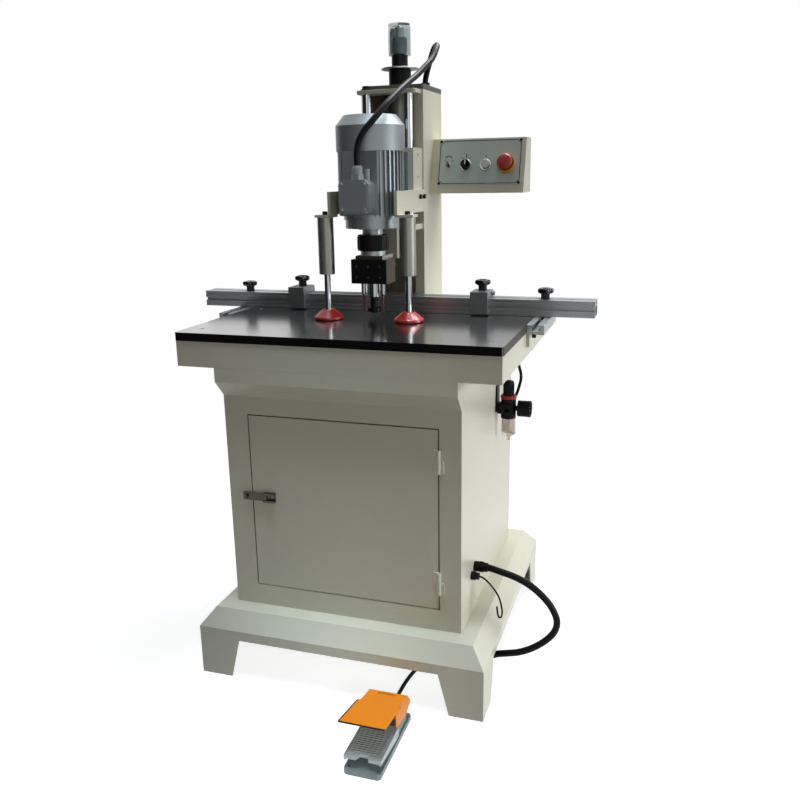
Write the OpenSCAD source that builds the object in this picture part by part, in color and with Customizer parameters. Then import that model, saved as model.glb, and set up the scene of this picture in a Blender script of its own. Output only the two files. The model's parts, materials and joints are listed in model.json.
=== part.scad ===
// Hinge drilling machine on a cabinet stand, millimetres, Z up.
// X runs along the fence, Y runs from the operator to the back.

/* [Stand] */
// Width of the sheet plinth at the floor
base_w = 746; // [600:1:900]
// Depth of the sheet plinth at the floor
base_d = 758; // [600:1:900]
// Height of the plinth deck above the floor
base_h = 176; // [120:1:240]
// Height at which the plinth starts to slope
slope_z = 132; // [90:1:170]
// Inset of the deck from the plinth sides
slope_in = 34; // [10:1:60]
// Thickness of the plinth sheet
base_t = 4; // [2:0.5:8]
// Height of the arch between two legs
arch_h = 106; // [60:1:120]
// Leg width at the floor
leg_foot = 84; // [50:1:140]
// Leg width at the top of the arch
leg_top = 111; // [60:1:160]
// Thickness of the foot plates
foot_t = 6; // [3:0.5:12]
// Width of the foot plates
foot_plate = 46; // [36:1:70]
// Radius of the floor anchor holes
anchor_r = 7; // [4:0.5:12]
// Cabinet width
cab_w = 600; // [400:1:800]
// Cabinet depth
cab_d = 597; // [400:1:800]
// Cabinet front behind the plinth front
cab_set = 78; // [40:1:140]
// Cabinet sheet thickness
sheet_t = 3; // [1.5:0.5:6]
// Height of the flared band under the table
flare_h = 34; // [20:1:80]
// Height of the slope under the flared band
flare_slope = 41; // [20:1:80]

/* [Door] */
// Door width
door_w = 480; // [300:1:520]
// Door height
door_h = 450; // [300:1:560]
// Door bottom edge above the plinth deck
door_up = 58; // [30:1:90]
// Door centre to the right of the middle
door_x = 4; // [-20:1:20]
// Gap round the door
door_gap = 3; // [1:0.5:6]
// Depth of the folded door edge
door_fold = 18; // [8:1:30]
// Radius of the welded hinge barrels
barrel_r = 5.5; // [4:0.5:9]
// Length of one hinge, both barrels
barrel_l = 56; // [30:1:90]
// Radius of the hinge pin
hinge_pin_r = 3; // [2:0.25:4]
// Running clearance of pins and slides
run_gap = 0.06; // [0.02:0.01:0.1]
// Hasp centre above the door bottom
hasp_up = 242; // [80:1:360]
// Length of the hasp strap
hasp_l = 60; // [40:1:90]
// Height of the hasp strap
hasp_h = 24; // [14:1:40]

/* [Table] */
// Table width
table_w = 800; // [600:1:1000]
// Table depth
table_d = 480; // [400:1:600]
// Table slab thickness
table_t = 20; // [12:1:40]
// Height of the working face
table_h = 890; // [800:1:950]
// Height of the apron below the slab
apron_h = 63; // [40:1:100]
// Depth of the apron
apron_d = 661; // [560:1:760]
// Table edge in front of the cabinet
table_set = 39; // [0:1:80]
// Apron behind the table edge
apron_in = 2; // [0:1:10]
// Apron sheet thickness
apron_t = 4; // [2:0.5:8]
// Radius of the slab corners
slab_r = 4; // [1:0.5:12]

/* [Fence] */
// Fence length
fence_l = 1100; // [800:1:1100]
// Fence height
fence_h = 42; // [38:1:60]
// Fence depth
fence_d = 60; // [40:1:64]
// Fence face behind the table edge
fence_set = 407; // [380:1:410]
// Lift of the fence over the slab
fence_lift = 0.5; // [0.2:0.1:2]
// Width of one side rail
rail_w = 42; // [30:1:60]
// Length of the side rails
rail_l = 206; // [150:1:206]
// Front end of the rails behind the table edge
rail_set = 288; // [250:1:300]
// Width of the rail slot
slot_w = 10; // [7:0.5:14]
// Radius of the fence knobs
knob_r = 21.5; // [15:0.5:30]
// Height of the knobs
knob_h = 27; // [20:1:45]
// Thickness of the knob grips
grip_t = 13; // [6:1:16]
// Bolt radius of the knobs
knob_bolt_r = 4; // [3:0.5:6]
// Centre of each stop from the middle
stop_x = 257; // [180:1:300]
// Width of the stops
stop_w = 46; // [30:1:70]
// Thickness of the stop face plate
stop_t = 17; // [8:1:25]
// Thickness of the stop saddle
saddle_t = 18; // [8:1:25]

/* [Column] */
// Column width
col_w = 170; // [130:1:220]
// Column depth
col_d = 178; // [140:1:220]
// Column height over the apron deck
col_h = 589; // [570:1:650]
// Column wall thickness
col_t = 6; // [4:0.5:10]
// Width of the front lips
lip_w = 26; // [15:1:40]
// Thickness of the dark lid
lid_t = 13; // [6:1:20]
// Guide rod radius
rod_r = 12.5; // [10:0.5:18]
// Guide rod distance from the middle
rod_x = 56; // [45:1:65]
// Guide rods in front of the column
rod_out = 38; // [30:1:45]
// Thickness of the rod support bars
bar_t = 14; // [8:1:25]
// Thickness of the upper rod support bar
top_bar_t = 10; // [6:1:16]
// Lower rod support bar above the table
low_bar_up = 215; // [190:1:225]

/* [Head] */
// Stroke of the head
head_stroke = 70; // [40:1:75]
// Spindle axis behind the table edge
spindle_set = 312; // [300:1:320]
// Motor shaft height over its feet
motor_h = 90; // [80:1:100]
// Radius of the motor fins
fin_r = 82; // [70:0.5:84]
// Radius of the motor shell between the fins
shell_r = 74; // [68:0.5:80]
// Number of fin places round the motor
fin_n = 40; // [24:1:56]
// Bottom of the finned shell above the table
motor_up = 259; // [250:1:265]
// Length of the finned shell
motor_l = 153; // [120:1:180]
// Radius of the fan cover
cowl_r = 85; // [80:0.5:92]
// Height of the fan cover
cowl_h = 85; // [60:1:110]
// Width of the terminal box
term_w = 76; // [50:1:100]
// Height of the terminal box
term_h = 78; // [50:1:100]
// Depth of the terminal box
term_d = 45; // [30:1:60]
// Half width of the carriage
carriage_x = 82; // [75:1:84]
// Height of the carriage
carriage_h = 162; // [120:1:180]
// Thickness of the clamp arms
arm_t = 8; // [6:1:16]
// Height of the clamp arms
arm_h = 56; // [40:1:70]
// Clamp axis from the middle
clamp_x = 108; // [104:1:125]
// Clamp axis in front of the spindle axis
clamp_out = 48; // [30:1:70]
// Clamp cylinder radius
clamp_r = 20; // [14:0.5:24]
// Clamp rod radius
clamp_rod_r = 8; // [5:0.5:10]
// Clamp foot radius
clamp_foot_r = 37.5; // [25:0.5:45]

/* [Drill head] */
// Width of the gear case
gear_w = 94; // [92:1:110]
// Depth of the gear case
gear_d = 66; // [64:1:90]
// Distance of the gear case's front from the table's front edge.
gear_set = 280; // [270:1:285]
// Height of the gear case
gear_h = 61; // [50:1:80]
// Bottom of the gear case above the table
gear_up = 90; // [80:1:92]
// Spacing of the two small holes
hole_gap = 52; // [42:0.5:54]
// Small holes in front of the cup hole
hole_out = 5.5; // [5:0.5:11]
// Teeth of each gear
teeth = 24; // [16:1:30]
// Radius of the cup bit
cup_r = 17.5; // [12:0.5:17.5]
// Radius of the small bits
drill_r = 1.5; // [1.5:0.25:2.5]
// Height of the bit tips over the table
tip_gap = 12; // [6:0.5:20]

/* [Control box] */
// Width of the control box
box_w = 255; // [200:1:300]
// Height of the control box
box_h = 142; // [100:1:160]
// Depth of the control box at the bottom
box_d = 110; // [80:1:118]
// Bottom of the control box above the table
box_up = 305; // [260:1:360]
// Lean of the control face
box_tilt = 16.4; // [5:0.1:30]
// Control face behind the column front
box_set = 55; // [20:1:60]
// Height of the control row on the face
row_s = 75; // [50:1:90]

/* [Air and pedal] */
// Regulator axis behind the table edge
frl_set = 430; // [380:1:480]
// Regulator axis from the cabinet side
frl_out = 32; // [26:1:50]
// Regulator body radius
frl_r = 20; // [14:0.5:26]
// Regulator body bottom below the apron
frl_drop = 196; // [160:1:260]
// Inlet thread radius
port_r = 6.5; // [4:0.25:9]
// Pedal reach in front of the plinth
pedal_reach = 259; // [200:1:320]
// Pedal centre to the right of the middle
pedal_x = 164.5; // [80:0.5:220]
// Pedal base width
pedal_w = 85; // [60:1:110]
// Pedal base length
pedal_l = 226; // [180:1:260]
// Pedal base thickness
pedal_t = 13; // [8:1:20]
// Half width of the guard at its front edge
guard_w = 52; // [44:1:60]
// Height of the guard front edge
guard_h = 122; // [95:1:140]
// Conduit radius
conduit_r = 8.5; // [5:0.25:11]
// Pedal lead radius
pedal_lead_r = 5; // [3:0.25:7]
// Thin lead radius
lead_r = 2.2; // [1.5:0.1:4]
// Air hose radius
hose_r = 4; // [3:0.25:6]
// Motor cable radius
cable_r = 7.5; // [5:0.25:9]

/* [Hidden] */
$fn = 64;
eps = 0.01;
base_y = (pedal_reach - base_d) / 2;
ty = base_y + table_set;
base_back = base_y + base_d;
cab_y = base_y + cab_set;
door_z = base_h + door_up;
hasp_z = door_z + hasp_up;
hinge_zs = [door_z + 41, door_z + door_h - 103];
col_top = table_h - table_t + col_h;
low_bar_z = table_h + low_bar_up;
motor_z = table_h + motor_up;
gear_z = table_h + gear_up;
box_z = table_h + box_up;
cab_top = table_h - table_t - apron_t;
apron_z = table_h - table_t - apron_h;
apron_y = ty + apron_in;
apron_w = table_w - 4;
spin_y = ty + spindle_set;
col_y = ty + apron_in + apron_d - col_d;
rod_y = col_y - rod_out;
lid_z = col_top + lid_t;
top_bar_z = col_top - 2 - top_bar_t;
car_y = spin_y + motor_h;
car_back = col_y - 2;
car_z = motor_z + 1;
feed_y = col_y + 72;
feed_r = 8;
lug_t = 22;
lug_z = car_z + 40;
cyl_z0 = lug_z + lug_t + 8 + head_stroke + 45;
boss_z = lid_z + 44;
stop_z = boss_z + 4;
rod_top = stop_z + 105;
fence_y = ty + fence_set;
fence_z = table_h + fence_lift;
fence_top = fence_z + fence_h;
rail_x = table_w / 2 + rail_w / 2;
rail_y = ty + rail_set;
bolt_y = fence_y + fence_d / 2;
nut_h = 6;
door_x0 = door_x - door_w / 2;
door_x1 = door_x + door_w / 2;
hinge_x = door_x1 + door_gap;
hinge_y = cab_y - barrel_r - 0.5;
hasp_x = door_x0 + 36;
hasp_y = cab_y - 6;
clamp_y = spin_y - clamp_out;
arm_z = car_z + 2;
arm_front = clamp_y - 25;
tab_t = 6;
cyl_top = arm_z - tab_t;
cyl_low = cyl_top - 141;
pitch_r = sqrt(hole_gap * hole_gap / 4 + hole_out * hole_out) / 2;
gear_m = 2 * pitch_r / teeth;
side_dir = -atan2(hole_out, hole_gap / 2);
tooth_a = 360 / teeth;
gap_dir = (floor(side_dir / tooth_a) + 0.5) * tooth_a;
side_phase = 180 + 2 * side_dir - gap_dir;
gear_top = gear_z + gear_h;
flange_t = 9;
bit_z = table_h + tip_gap;
chuck_z = gear_z - 35;
nose_z = motor_z - 48;
coup_z = gear_top + flange_t + 12;
frl_z = apron_z - frl_drop;
box_x = col_w / 2;
box_y = col_y + box_set;
box_top_y = box_y + box_h * tan(box_tilt);
row_x = [box_x + 47.5, box_x + 96, box_x + 150, box_x + 206];
frl_x = cab_w / 2 + frl_out;
frl_y = ty + frl_set;
pedal_y = base_y - pedal_reach;
tread_y = pedal_y + 118;
tread_z = 28;
gland_y = ty + 176;
gland_z = base_h + 114;
lead_y = ty + 143;
lead_z = base_h + 104;
cream = [0.86, 0.85, 0.79];
black = [0.06, 0.06, 0.07];
steel = [0.7, 0.71, 0.72];
alu = [0.66, 0.68, 0.69];
grey = [0.55, 0.58, 0.6];

// Round bar standing on a point.
module bar(p, r, h) {
  translate(p) cylinder(r = r, h = h);
}

// Round bar lying along X.
module bar_x(p, r, h) {
  translate(p) rotate([0, 90, 0]) cylinder(r = r, h = h);
}

// Round bar lying along Y.
module bar_y(p, r, h) {
  translate(p) rotate([-90, 0, 0]) cylinder(r = r, h = h);
}

// Block given by its lower corner and its upper corner.
module block(a, b) {
  translate(a) cube(b - a);
}

// Profile in Y and Z pushed along X from x0 to x1.
module along_x(x0, x1, pts) {
  translate([x0, 0, 0]) rotate([90, 0, 90]) linear_extrude(x1 - x0) polygon(pts);
}

// Profile in X and Z pushed along Y from y0 to y1.
module along_y(y0, y1, pts) {
  translate([0, y1, 0]) rotate([90, 0, 0]) linear_extrude(y1 - y0) polygon(pts);
}

// Both mirror images about the middle plane.
module both() {
  children();
  mirror([1, 0, 0]) children();
}

// Frame on the control face: local Z stands out of the face.
module on_face(x, s) {
  translate([x, box_y, box_z]) rotate([90 - box_tilt, 0, 0]) translate([0, s, 0]) children();
}

function unit(v) = v / norm(v);
function way(p, i) = unit(p[min(i + 1, len(p) - 1)] - p[max(i - 1, 0)]);
function cross_dir(d) = abs(d[2]) > 0.9 ? [1, 0, 0] : [0, 0, 1];
function next_side(s, d) = unit(s - (s * d) * d);
function sides(p, i) = i == 0
  ? next_side(cross_dir(way(p, 0)), way(p, 0))
  : next_side(sides(p, i - 1), way(p, i));
function ring(c, d, s, r, n) = [
  for (k = [0:n - 1]) c + r * (cos(360 * k / n) * s + sin(360 * k / n) * cross(d, s))
];

// One unbroken tube swept along points, with one radius for each point.
module sweep(p, r, n) {
  m = len(p);
  pts = [for (i = [0:m - 1]) each ring(p[i], way(p, i), sides(p, i), r[i], n)];
  walls = [for (i = [0:m - 2]) for (k = [0:n - 1])
    [i * n + k, i * n + (k + 1) % n, (i + 1) * n + (k + 1) % n, (i + 1) * n + k]];
  first = [[for (k = [0:n - 1]) n - 1 - k]];
  last = [[for (k = [0:n - 1]) (m - 1) * n + k]];
  flip = [for (f = concat(first, walls, last)) [for (k = [len(f) - 1:-1:0]) f[k]]];
  polyhedron(pts, flip);
}

// Smooth curve through route points, cut into steps per span.
function blend(a, b, c, d, t) = 0.5 * ((2 * b) + (c - a) * t
  + (2 * a - 5 * b + 4 * c - d) * t * t + (3 * b - a - 3 * c + d) * t * t * t);
function smooth(p, n) = [
  for (i = [0:len(p) - 2]) for (k = [0:n - 1])
    blend(p[max(i - 1, 0)], p[i], p[i + 1], p[min(i + 2, len(p) - 1)], k / n),
  p[len(p) - 1]
];

module plinth() {
  half = base_w / 2;
  front = [[-half, 0], [-half, slope_z], [-half + slope_in, base_h], [half - slope_in, base_h],
    [half, slope_z], [half, 0]];
  side = [[base_y, 0], [base_y, slope_z], [base_y + slope_in, base_h],
    [base_back - slope_in, base_h], [base_back, slope_z], [base_back, 0]];
  in = half - base_t;
  front_in = [[-in, -1], [-in, slope_z - 2], [-in + slope_in, base_h - base_t],
    [in - slope_in, base_h - base_t], [in, slope_z - 2], [in, -1]];
  y0 = base_y + base_t;
  y1 = base_back - base_t;
  side_in = [[y0, -1], [y0, slope_z - 2], [y0 + slope_in, base_h - base_t],
    [y1 - slope_in, base_h - base_t], [y1, slope_z - 2], [y1, -1]];
  color(cream) {
    difference() {
      intersection() {
        along_y(base_y, base_back, front);
        along_x(-half, half, side);
      }
      intersection() {
        along_y(y0, y1, front_in);
        along_x(-in, in, side_in);
      }
      along_y(base_y - 1, base_back + 1, [[-half + leg_foot, -1], [-half + leg_top, arch_h],
        [half - leg_top, arch_h], [half - leg_foot, -1]]);
      along_x(-half - 1, half + 1, [[base_y + leg_foot, -1], [base_y + leg_top, arch_h],
        [base_back - leg_top, arch_h], [base_back - leg_foot, -1]]);
    }
    both() for (y = [y0, y1 - foot_plate]) difference() {
      block([in - foot_plate, y, 0], [in, y + foot_plate, foot_t]);
      bar([in - foot_plate / 2, y + foot_plate / 2, -1], anchor_r, foot_t + 2);
    }
  }
}

module cabinet() {
  x = cab_w / 2;
  y1 = cab_y + cab_d;
  t = sheet_t;
  slope_top = apron_z - flare_h;
  low = slope_top - flare_slope;
  color(cream) {
    difference() {
      block([-x, cab_y, base_h], [x, y1, cab_top]);
      block([-x + t, cab_y + t, base_h - 1], [x - t, y1 - t, cab_top + 1]);
      block([door_x0 - door_gap, cab_y - 1, door_z - door_gap],
        [door_x1 + door_gap, cab_y + t + 1, door_z + door_h + door_gap]);
    }
    difference() {
      along_x(-x, x, [[cab_y, low], [apron_y, slope_top], [apron_y, apron_z], [cab_y, apron_z]]);
      along_x(-x + t, x - t, [[cab_y, low + 5], [apron_y + t, slope_top + 2],
        [apron_y + t, apron_z + 1], [cab_y, apron_z + 1]]);
    }
    for (z = hinge_zs) {
      bar([hinge_x, hinge_y, z], barrel_r, barrel_l / 2);
      block([hinge_x, hinge_y, z], [hinge_x + 12, cab_y + eps, z + barrel_l / 2]);
      bar([hinge_x, hinge_y, z + 2], hinge_pin_r, barrel_l - 6);
    }
    block([door_x0 - 16, cab_y - 14, hasp_z - 5], [door_x0 - 12, cab_y, hasp_z + 5]);
  }
}

module door() {
  t = sheet_t;
  z1 = door_z + door_h;
  color(cream) {
    difference() {
      block([door_x0, cab_y, door_z], [door_x1, cab_y + door_fold, z1]);
      block([door_x0 + t, cab_y + t, door_z + t], [door_x1 - t, cab_y + door_fold + 1, z1 - t]);
    }
    for (z = hinge_zs) difference() {
      union() {
        bar([hinge_x, hinge_y, z + barrel_l / 2 + 0.4], barrel_r, barrel_l / 2 - 0.4);
        block([hinge_x - 14, hinge_y, z + barrel_l / 2 + 0.4], [hinge_x, cab_y + eps, z + barrel_l]);
      }
      bar([hinge_x, hinge_y, z + barrel_l / 2], hinge_pin_r + run_gap, barrel_l / 2 - 3);
    }
    for (z = [hasp_z - hasp_h / 2, hasp_z + hasp_h / 2 - 5]) difference() {
      block([hasp_x - 5, cab_y - 11, z], [hasp_x + 26, cab_y, z + 5]);
      bar([hasp_x, hasp_y, z - 1], 2 + run_gap, 7);
    }
  }
}

module hasp() {
  z0 = hasp_z - hasp_h / 2 + 5.5;
  z1 = hasp_z + hasp_h / 2 - 5.5;
  color(steel) {
    bar([hasp_x, hasp_y, hasp_z - hasp_h / 2 + 0.5], 2, hasp_h - 1);
    difference() {
      union() {
        block([hasp_x - hasp_l, hasp_y - 2, hasp_z - 10], [hasp_x - 8, hasp_y + 1, hasp_z + 10]);
        block([hasp_x - 9, hasp_y - 2, z0], [hasp_x, hasp_y + 1, z1]);
        bar([hasp_x, hasp_y, z0], 4, z1 - z0);
      }
      block([door_x0 - 19, hasp_y - 5, hasp_z - 7], [door_x0 - 9, hasp_y + 5, hasp_z + 7]);
    }
  }
}

module apron() {
  x = apron_w / 2;
  y1 = apron_y + apron_d;
  t = apron_t;
  color(cream) {
    difference() {
      block([-x, apron_y, apron_z], [x, y1, table_h - table_t]);
      block([-x + t, apron_y + t, apron_z - 1], [x - t, y1 - t, cab_top]);
    }
    both() difference() {
      block([x, rail_y + 6, apron_z + 26], [table_w / 2 + 6, rail_y + rail_l, table_h - table_t]);
      block([x + 1, rail_y + 66, apron_z + 37], [x + 20, rail_y + 77, apron_z + 47]);
    }
    both() block([x, rail_y + 6, table_h - table_t - 6],
      [table_w / 2 + rail_w, rail_y + rail_l, table_h - table_t]);
  }
}

module table_top() {
  x = table_w / 2;
  color([0.1, 0.1, 0.11]) difference() {
    translate([0, 0, table_h - table_t]) linear_extrude(table_t) polygon([[-x, ty + slab_r],
      [-x + slab_r, ty], [x - slab_r, ty], [x, ty + slab_r], [x, ty + table_d], [-x, ty + table_d]]);
    both() for (y = [ty + 60, ty + 380])
      translate([x - 40, y, table_h - 3]) cylinder(r1 = 2, r2 = 5.2, h = 3 + eps);
  }
}

module fence_rails() {
  z0 = table_h - table_t;
  zt = table_h - 4;
  color(alu) both() difference() {
    block([table_w / 2, rail_y, z0], [table_w / 2 + rail_w, rail_y + rail_l, table_h]);
    block([rail_x - slot_w / 2, rail_y - 1, z0 + 5],
      [rail_x + slot_w / 2, rail_y + rail_l + 1, table_h + 1]);
    block([rail_x - slot_w, rail_y - 1, z0 + 5], [rail_x + slot_w, rail_y + rail_l + 1, zt]);
  }
}

module fence() {
  y = fence_y;
  z = fence_z;
  d = fence_d;
  h = fence_h;
  m = bolt_y;
  color(alu) difference() {
    along_x(-fence_l / 2, fence_l / 2, [[y, z], [y + d, z], [y + d, z + h], [m + 4, z + h],
      [m + 4, z + h - 3.5], [m + 9, z + h - 3.5], [m + 9, z + h - 11], [m - 9, z + h - 11],
      [m - 9, z + h - 3.5], [m - 4, z + h - 3.5], [m - 4, z + h], [y, z + h], [y, z + h - 5],
      [y + 1.5, z + h - 5], [y + 1.5, z + h - 9], [y, z + h - 9], [y, z + 24], [y + 7, z + 24],
      [y + 7, z + 16], [y, z + 16], [y, z + 10], [y + 1.5, z + 10], [y + 1.5, z + 6], [y, z + 6]]);
    block([-fence_l, y + 10, z + 4], [fence_l, y + d - 4, z + h - 15]);
    both() bar([rail_x, m, z - 1], knob_bolt_r + 0.5, h + 2);
  }
}

// Five-lobed clamp knob standing on z with its bolt going down by l.
module knob(x, y, z, l) {
  difference() {
    union() {
      bar([x, y, z], 11.5, knob_h - grip_t + 1);
      bar([x, y, z + knob_h - grip_t], knob_r - 4, grip_t);
      for (a = [0:72:359])
        bar([x + (knob_r - 7) * cos(a), y + (knob_r - 7) * sin(a), z + knob_h - grip_t + 1], 7,
          grip_t - 2);
    }
    bar([x, y, z + knob_h - 2], 9, 3);
  }
  bar([x, y, z - l], knob_bolt_r, l + 5);
}

module fence_knob(x) {
  l = fence_top - table_h + table_t - 7;
  color(black) {
    knob(x, bolt_y, fence_top + 0.4, l);
    bar([x, bolt_y, table_h - table_t + 7.5], 8.5, 7);
  }
}

module fence_knob_left() {
  fence_knob(-rail_x);
}

module fence_knob_right() {
  fence_knob(rail_x);
}

module fence_stop(x) {
  y0 = fence_y - 0.4 - stop_t;
  y1 = fence_y + fence_d;
  w = stop_w / 2;
  zs = fence_top + 0.4;
  zt = zs + saddle_t;
  color([0.35, 0.37, 0.38]) difference() {
    union() {
      block([x - w, y0, table_h + 4], [x + w, fence_y - 0.4, zt]);
      along_x(x - w, x + w, [[y0, zs], [y1, zs], [y1, zt - 9], [y1 - 3, zt - 3], [y1 - 9, zt],
        [y0, zt]]);
      block([x - w, bolt_y - 3.5, fence_top - 3.6], [x + w, bolt_y + 3.5, zs + 1]);
      bar_x([x + sign(x) * (w + 3.5) - 3.6, bolt_y + 12, zs + 9], 6, 7.2);
    }
    bar([x, bolt_y, fence_top - 5], knob_bolt_r + 0.4, saddle_t + 8);
    for (z = [table_h + 22, table_h + 30]) bar_x([x + w - 4, y0 + 8, z], 2, 5);
  }
}

module stop_left() {
  fence_stop(-stop_x);
}

module stop_right() {
  fence_stop(stop_x);
}

module stop_knob(x) {
  color(black) {
    knob(x, bolt_y, fence_top + saddle_t + 0.8, saddle_t + 7);
    bar([x, bolt_y, fence_top - 10], 6.5, nut_h);
  }
}

module stop_knob_left() {
  stop_knob(-stop_x);
}

module stop_knob_right() {
  stop_knob(stop_x);
}

module column() {
  x = col_w / 2;
  y1 = col_y + col_d;
  z0 = table_h - table_t;
  color(cream) {
    difference() {
      block([-x, col_y, z0], [x, y1, col_top]);
      block([-x + col_t, col_y + col_t, z0 - 1], [x - col_t, y1 - col_t, col_top + 1]);
      block([-x + lip_w, col_y - 1, z0 + 60], [x - lip_w, col_y + col_t + 1, col_top + 1]);
    }
    rod_bar(low_bar_z, bar_t, rod_y - 24, 2);
    rod_bar(top_bar_z, top_bar_t, rod_y - rod_r - 4, 10);
  }
}

// Bar that holds both rods, from y0 to the column, with front corners of radius r.
module rod_bar(z, t, y0, r) {
  difference() {
    union() {
      block([-80 + r, y0, z], [80 - r, col_y, z + t]);
      block([-80, y0 + r, z], [80, col_y, z + t]);
      both() bar([80 - r, y0 + r, z], r, t);
    }
    both() bar([rod_x, rod_y, z - 1], rod_r + run_gap, t + 2);
  }
}

module column_lid() {
  x = col_w / 2;
  color([0.2, 0.2, 0.19]) {
    difference() {
      union() {
        block([-x, col_y + 8, col_top], [x, col_y + col_d, lid_z]);
        block([8 - x, col_y, col_top], [x - 8, col_y + 20, lid_z]);
        both() bar([x - 8, col_y + 8, col_top], 8, lid_t);
        bar([0, feed_y, lid_z - eps], 29.5, boss_z - lid_z);
        bar([0, feed_y, boss_z - eps], 50, stop_z - boss_z);
      }
      bar([0, feed_y, col_top - 1], feed_r + 1, 200);
    }
    bar([66, ty + 572, lid_z - eps], 12, 10);
  }
}

module guide_rods() {
  z = top_bar_z + top_bar_t;
  color(steel) both() {
    bar([rod_x, rod_y, low_bar_z], rod_r, z - low_bar_z + 1);
    bar([rod_x, rod_y, z], rod_r + 3, 3);
    bar([rod_x, rod_y, z + 3 - eps], 9, 8);
  }
}

module feed_cylinder() {
  color(alu) difference() {
    bar([0, feed_y, cyl_z0], 32, col_top - cyl_z0);
    bar([0, feed_y, cyl_z0 + 14], 25, col_top - cyl_z0 - 24);
    bar([0, feed_y, cyl_z0 - 1], feed_r + 1, 300);
  }
}

module feed_rod() {
  color(steel) {
    bar([0, feed_y, lug_z - 4], feed_r, rod_top - lug_z + 4);
    bar([0, feed_y, cyl_z0 + 18], 24.5, 14);
    bar([0, feed_y, lug_z - 12], 14, 12);
    bar([0, feed_y, lug_z + lug_t], 14, 8);
  }
}

module depth_nut() {
  color(black) difference() {
    union() {
      bar([0, feed_y, stop_z + 0.5], 21.5, 34);
      bar([0, feed_y, stop_z + 34], 20, 41);
      bar([0, feed_y, stop_z + 74], 12.5, 27);
    }
    bar([0, feed_y, stop_z - 1], feed_r + 0.4, 120);
  }
}

module stop_cap() {
  z = stop_z + 31;
  color([0.85, 0.9, 0.92]) difference() {
    bar([0, feed_y, z], 29.5, rod_top + 4 - z);
    bar([0, feed_y, z - 1], 26.5, rod_top - 1 - z);
    bar([0, feed_y, z], feed_r + run_gap, rod_top - z);
  }
}

module carriage() {
  x = carriage_x;
  z1 = car_z + carriage_h;
  color(cream) difference() {
    union() {
      block([-x, car_y, car_z], [x, car_back, z1]);
      block([-35, car_y, gear_top - 8], [35, car_y + 18, car_z + 1]);
      block([-28, car_back - 1, lug_z], [28, feed_y + 22, lug_z + lug_t]);
    }
    both() bar([rod_x, rod_y, car_z - 1], rod_r + run_gap, carriage_h + 2);
    bar([0, feed_y, lug_z - 9], feed_r + 0.4, 40);
    both() for (z = [car_z + 90, car_z + 145]) bar_x([x - 4, car_y + 40, z], 4, 5);
  }
}

module motor_frame() {
  half = 180 / fin_n;
  rim = [for (i = [0:fin_n - 1]) each [
    shell_r * [cos((2 * i - 1) * half + 0.36 * half), sin((2 * i - 1) * half + 0.36 * half)],
    shell_r * [cos((2 * i - 0.4) * half), sin((2 * i - 0.4) * half)],
    fin_r * [cos((2 * i - 0.3) * half), sin((2 * i - 0.3) * half)],
    fin_r * [cos((2 * i + 0.3) * half), sin((2 * i + 0.3) * half)],
    shell_r * [cos((2 * i + 0.4) * half), sin((2 * i + 0.4) * half)]
  ]];
  color(grey) translate([0, spin_y, 0]) difference() {
    union() {
      translate([0, 0, motor_z]) linear_extrude(motor_l) polygon(rim);
      bar([0, 0, motor_z - 10], 71, 12);
      bar([0, 0, motor_z - 31], 67.5, 22);
      bar([0, 0, nose_z], 26, 18);
      both() block([50, 48, motor_z + 8], [81, motor_h, motor_z + motor_l - 2]);
      block([-45, -fin_r, motor_z + 4], [45, -60, motor_z + motor_l]);
    }
    bar([0, 0, motor_z + 6], 64, motor_l - 18);
    bar([0, 0, motor_z - 60], 13, 300);
    both() for (z = [motor_z + 28, motor_z + 128]) bar_y([68, 40, z], 5, 60);
  }
}

module fan_cover() {
  z = motor_z + motor_l;
  color(grey) translate([0, spin_y, 0]) difference() {
    rotate_extrude() polygon([[0, z], [cowl_r, z], [cowl_r, z + cowl_h - 25],
      [cowl_r - 20, z + cowl_h], [0, z + cowl_h]]);
    rotate_extrude() polygon([[0, z - 1], [cowl_r - 2, z - 1], [cowl_r - 2, z + cowl_h - 26],
      [cowl_r - 21, z + cowl_h - 2], [0, z + cowl_h - 2]]);
    for (a = [0:30:359], r = [22, 40, 58]) rotate([0, 0, a + r])
      bar([r, 0, z + cowl_h - 5], 4, 10);
  }
}

module terminal_box() {
  y0 = spin_y - fin_r - term_d;
  z0 = motor_z + 9;
  w = term_w / 2;
  c = 11;
  color(grey) {
    along_y(y0, y0 + term_d, [[-w + c, z0], [w - c, z0], [w, z0 + c], [w, z0 + term_h - c],
      [w - c, z0 + term_h], [-w + c, z0 + term_h], [-w, z0 + term_h - c], [-w, z0 + c]]);
    along_y(y0 - 3, y0, [[-w + c + 3, z0 + 3], [w - c - 3, z0 + 3], [w - 3, z0 + c + 3],
      [w - 3, z0 + term_h - c - 3], [w - c - 3, z0 + term_h - 3], [-w + c + 3, z0 + term_h - 3],
      [-w + 3, z0 + term_h - c - 3], [-w + 3, z0 + c + 3]]);
    translate([4, ty + 205, z0 + term_h - eps]) {
      cylinder(r = 15.5, h = 12, $fn = 6);
      bar([0, 0, 11], 13, 15);
      translate([0, 0, 26]) cylinder(r1 = 13, r2 = 9.5, h = 6);
    }
    bar([24, ty + 214, z0 + term_h - 6], 7.5, 30);
  }
}

// Toothed wheel about the origin with one tooth at angle a.
module toothed(a, h) {
  rr = pitch_r - 1.1 * gear_m;
  ra = pitch_r + 0.8 * gear_m;
  spots = [[rr, -0.28], [pitch_r, -0.18], [ra, -0.08], [ra, 0.08], [pitch_r, 0.18], [rr, 0.28]];
  linear_extrude(h) polygon([for (i = [0:teeth - 1]) for (q = spots)
    q[0] * [cos(a + (i + q[1]) * tooth_a), sin(a + (i + q[1]) * tooth_a)]]);
}

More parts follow.
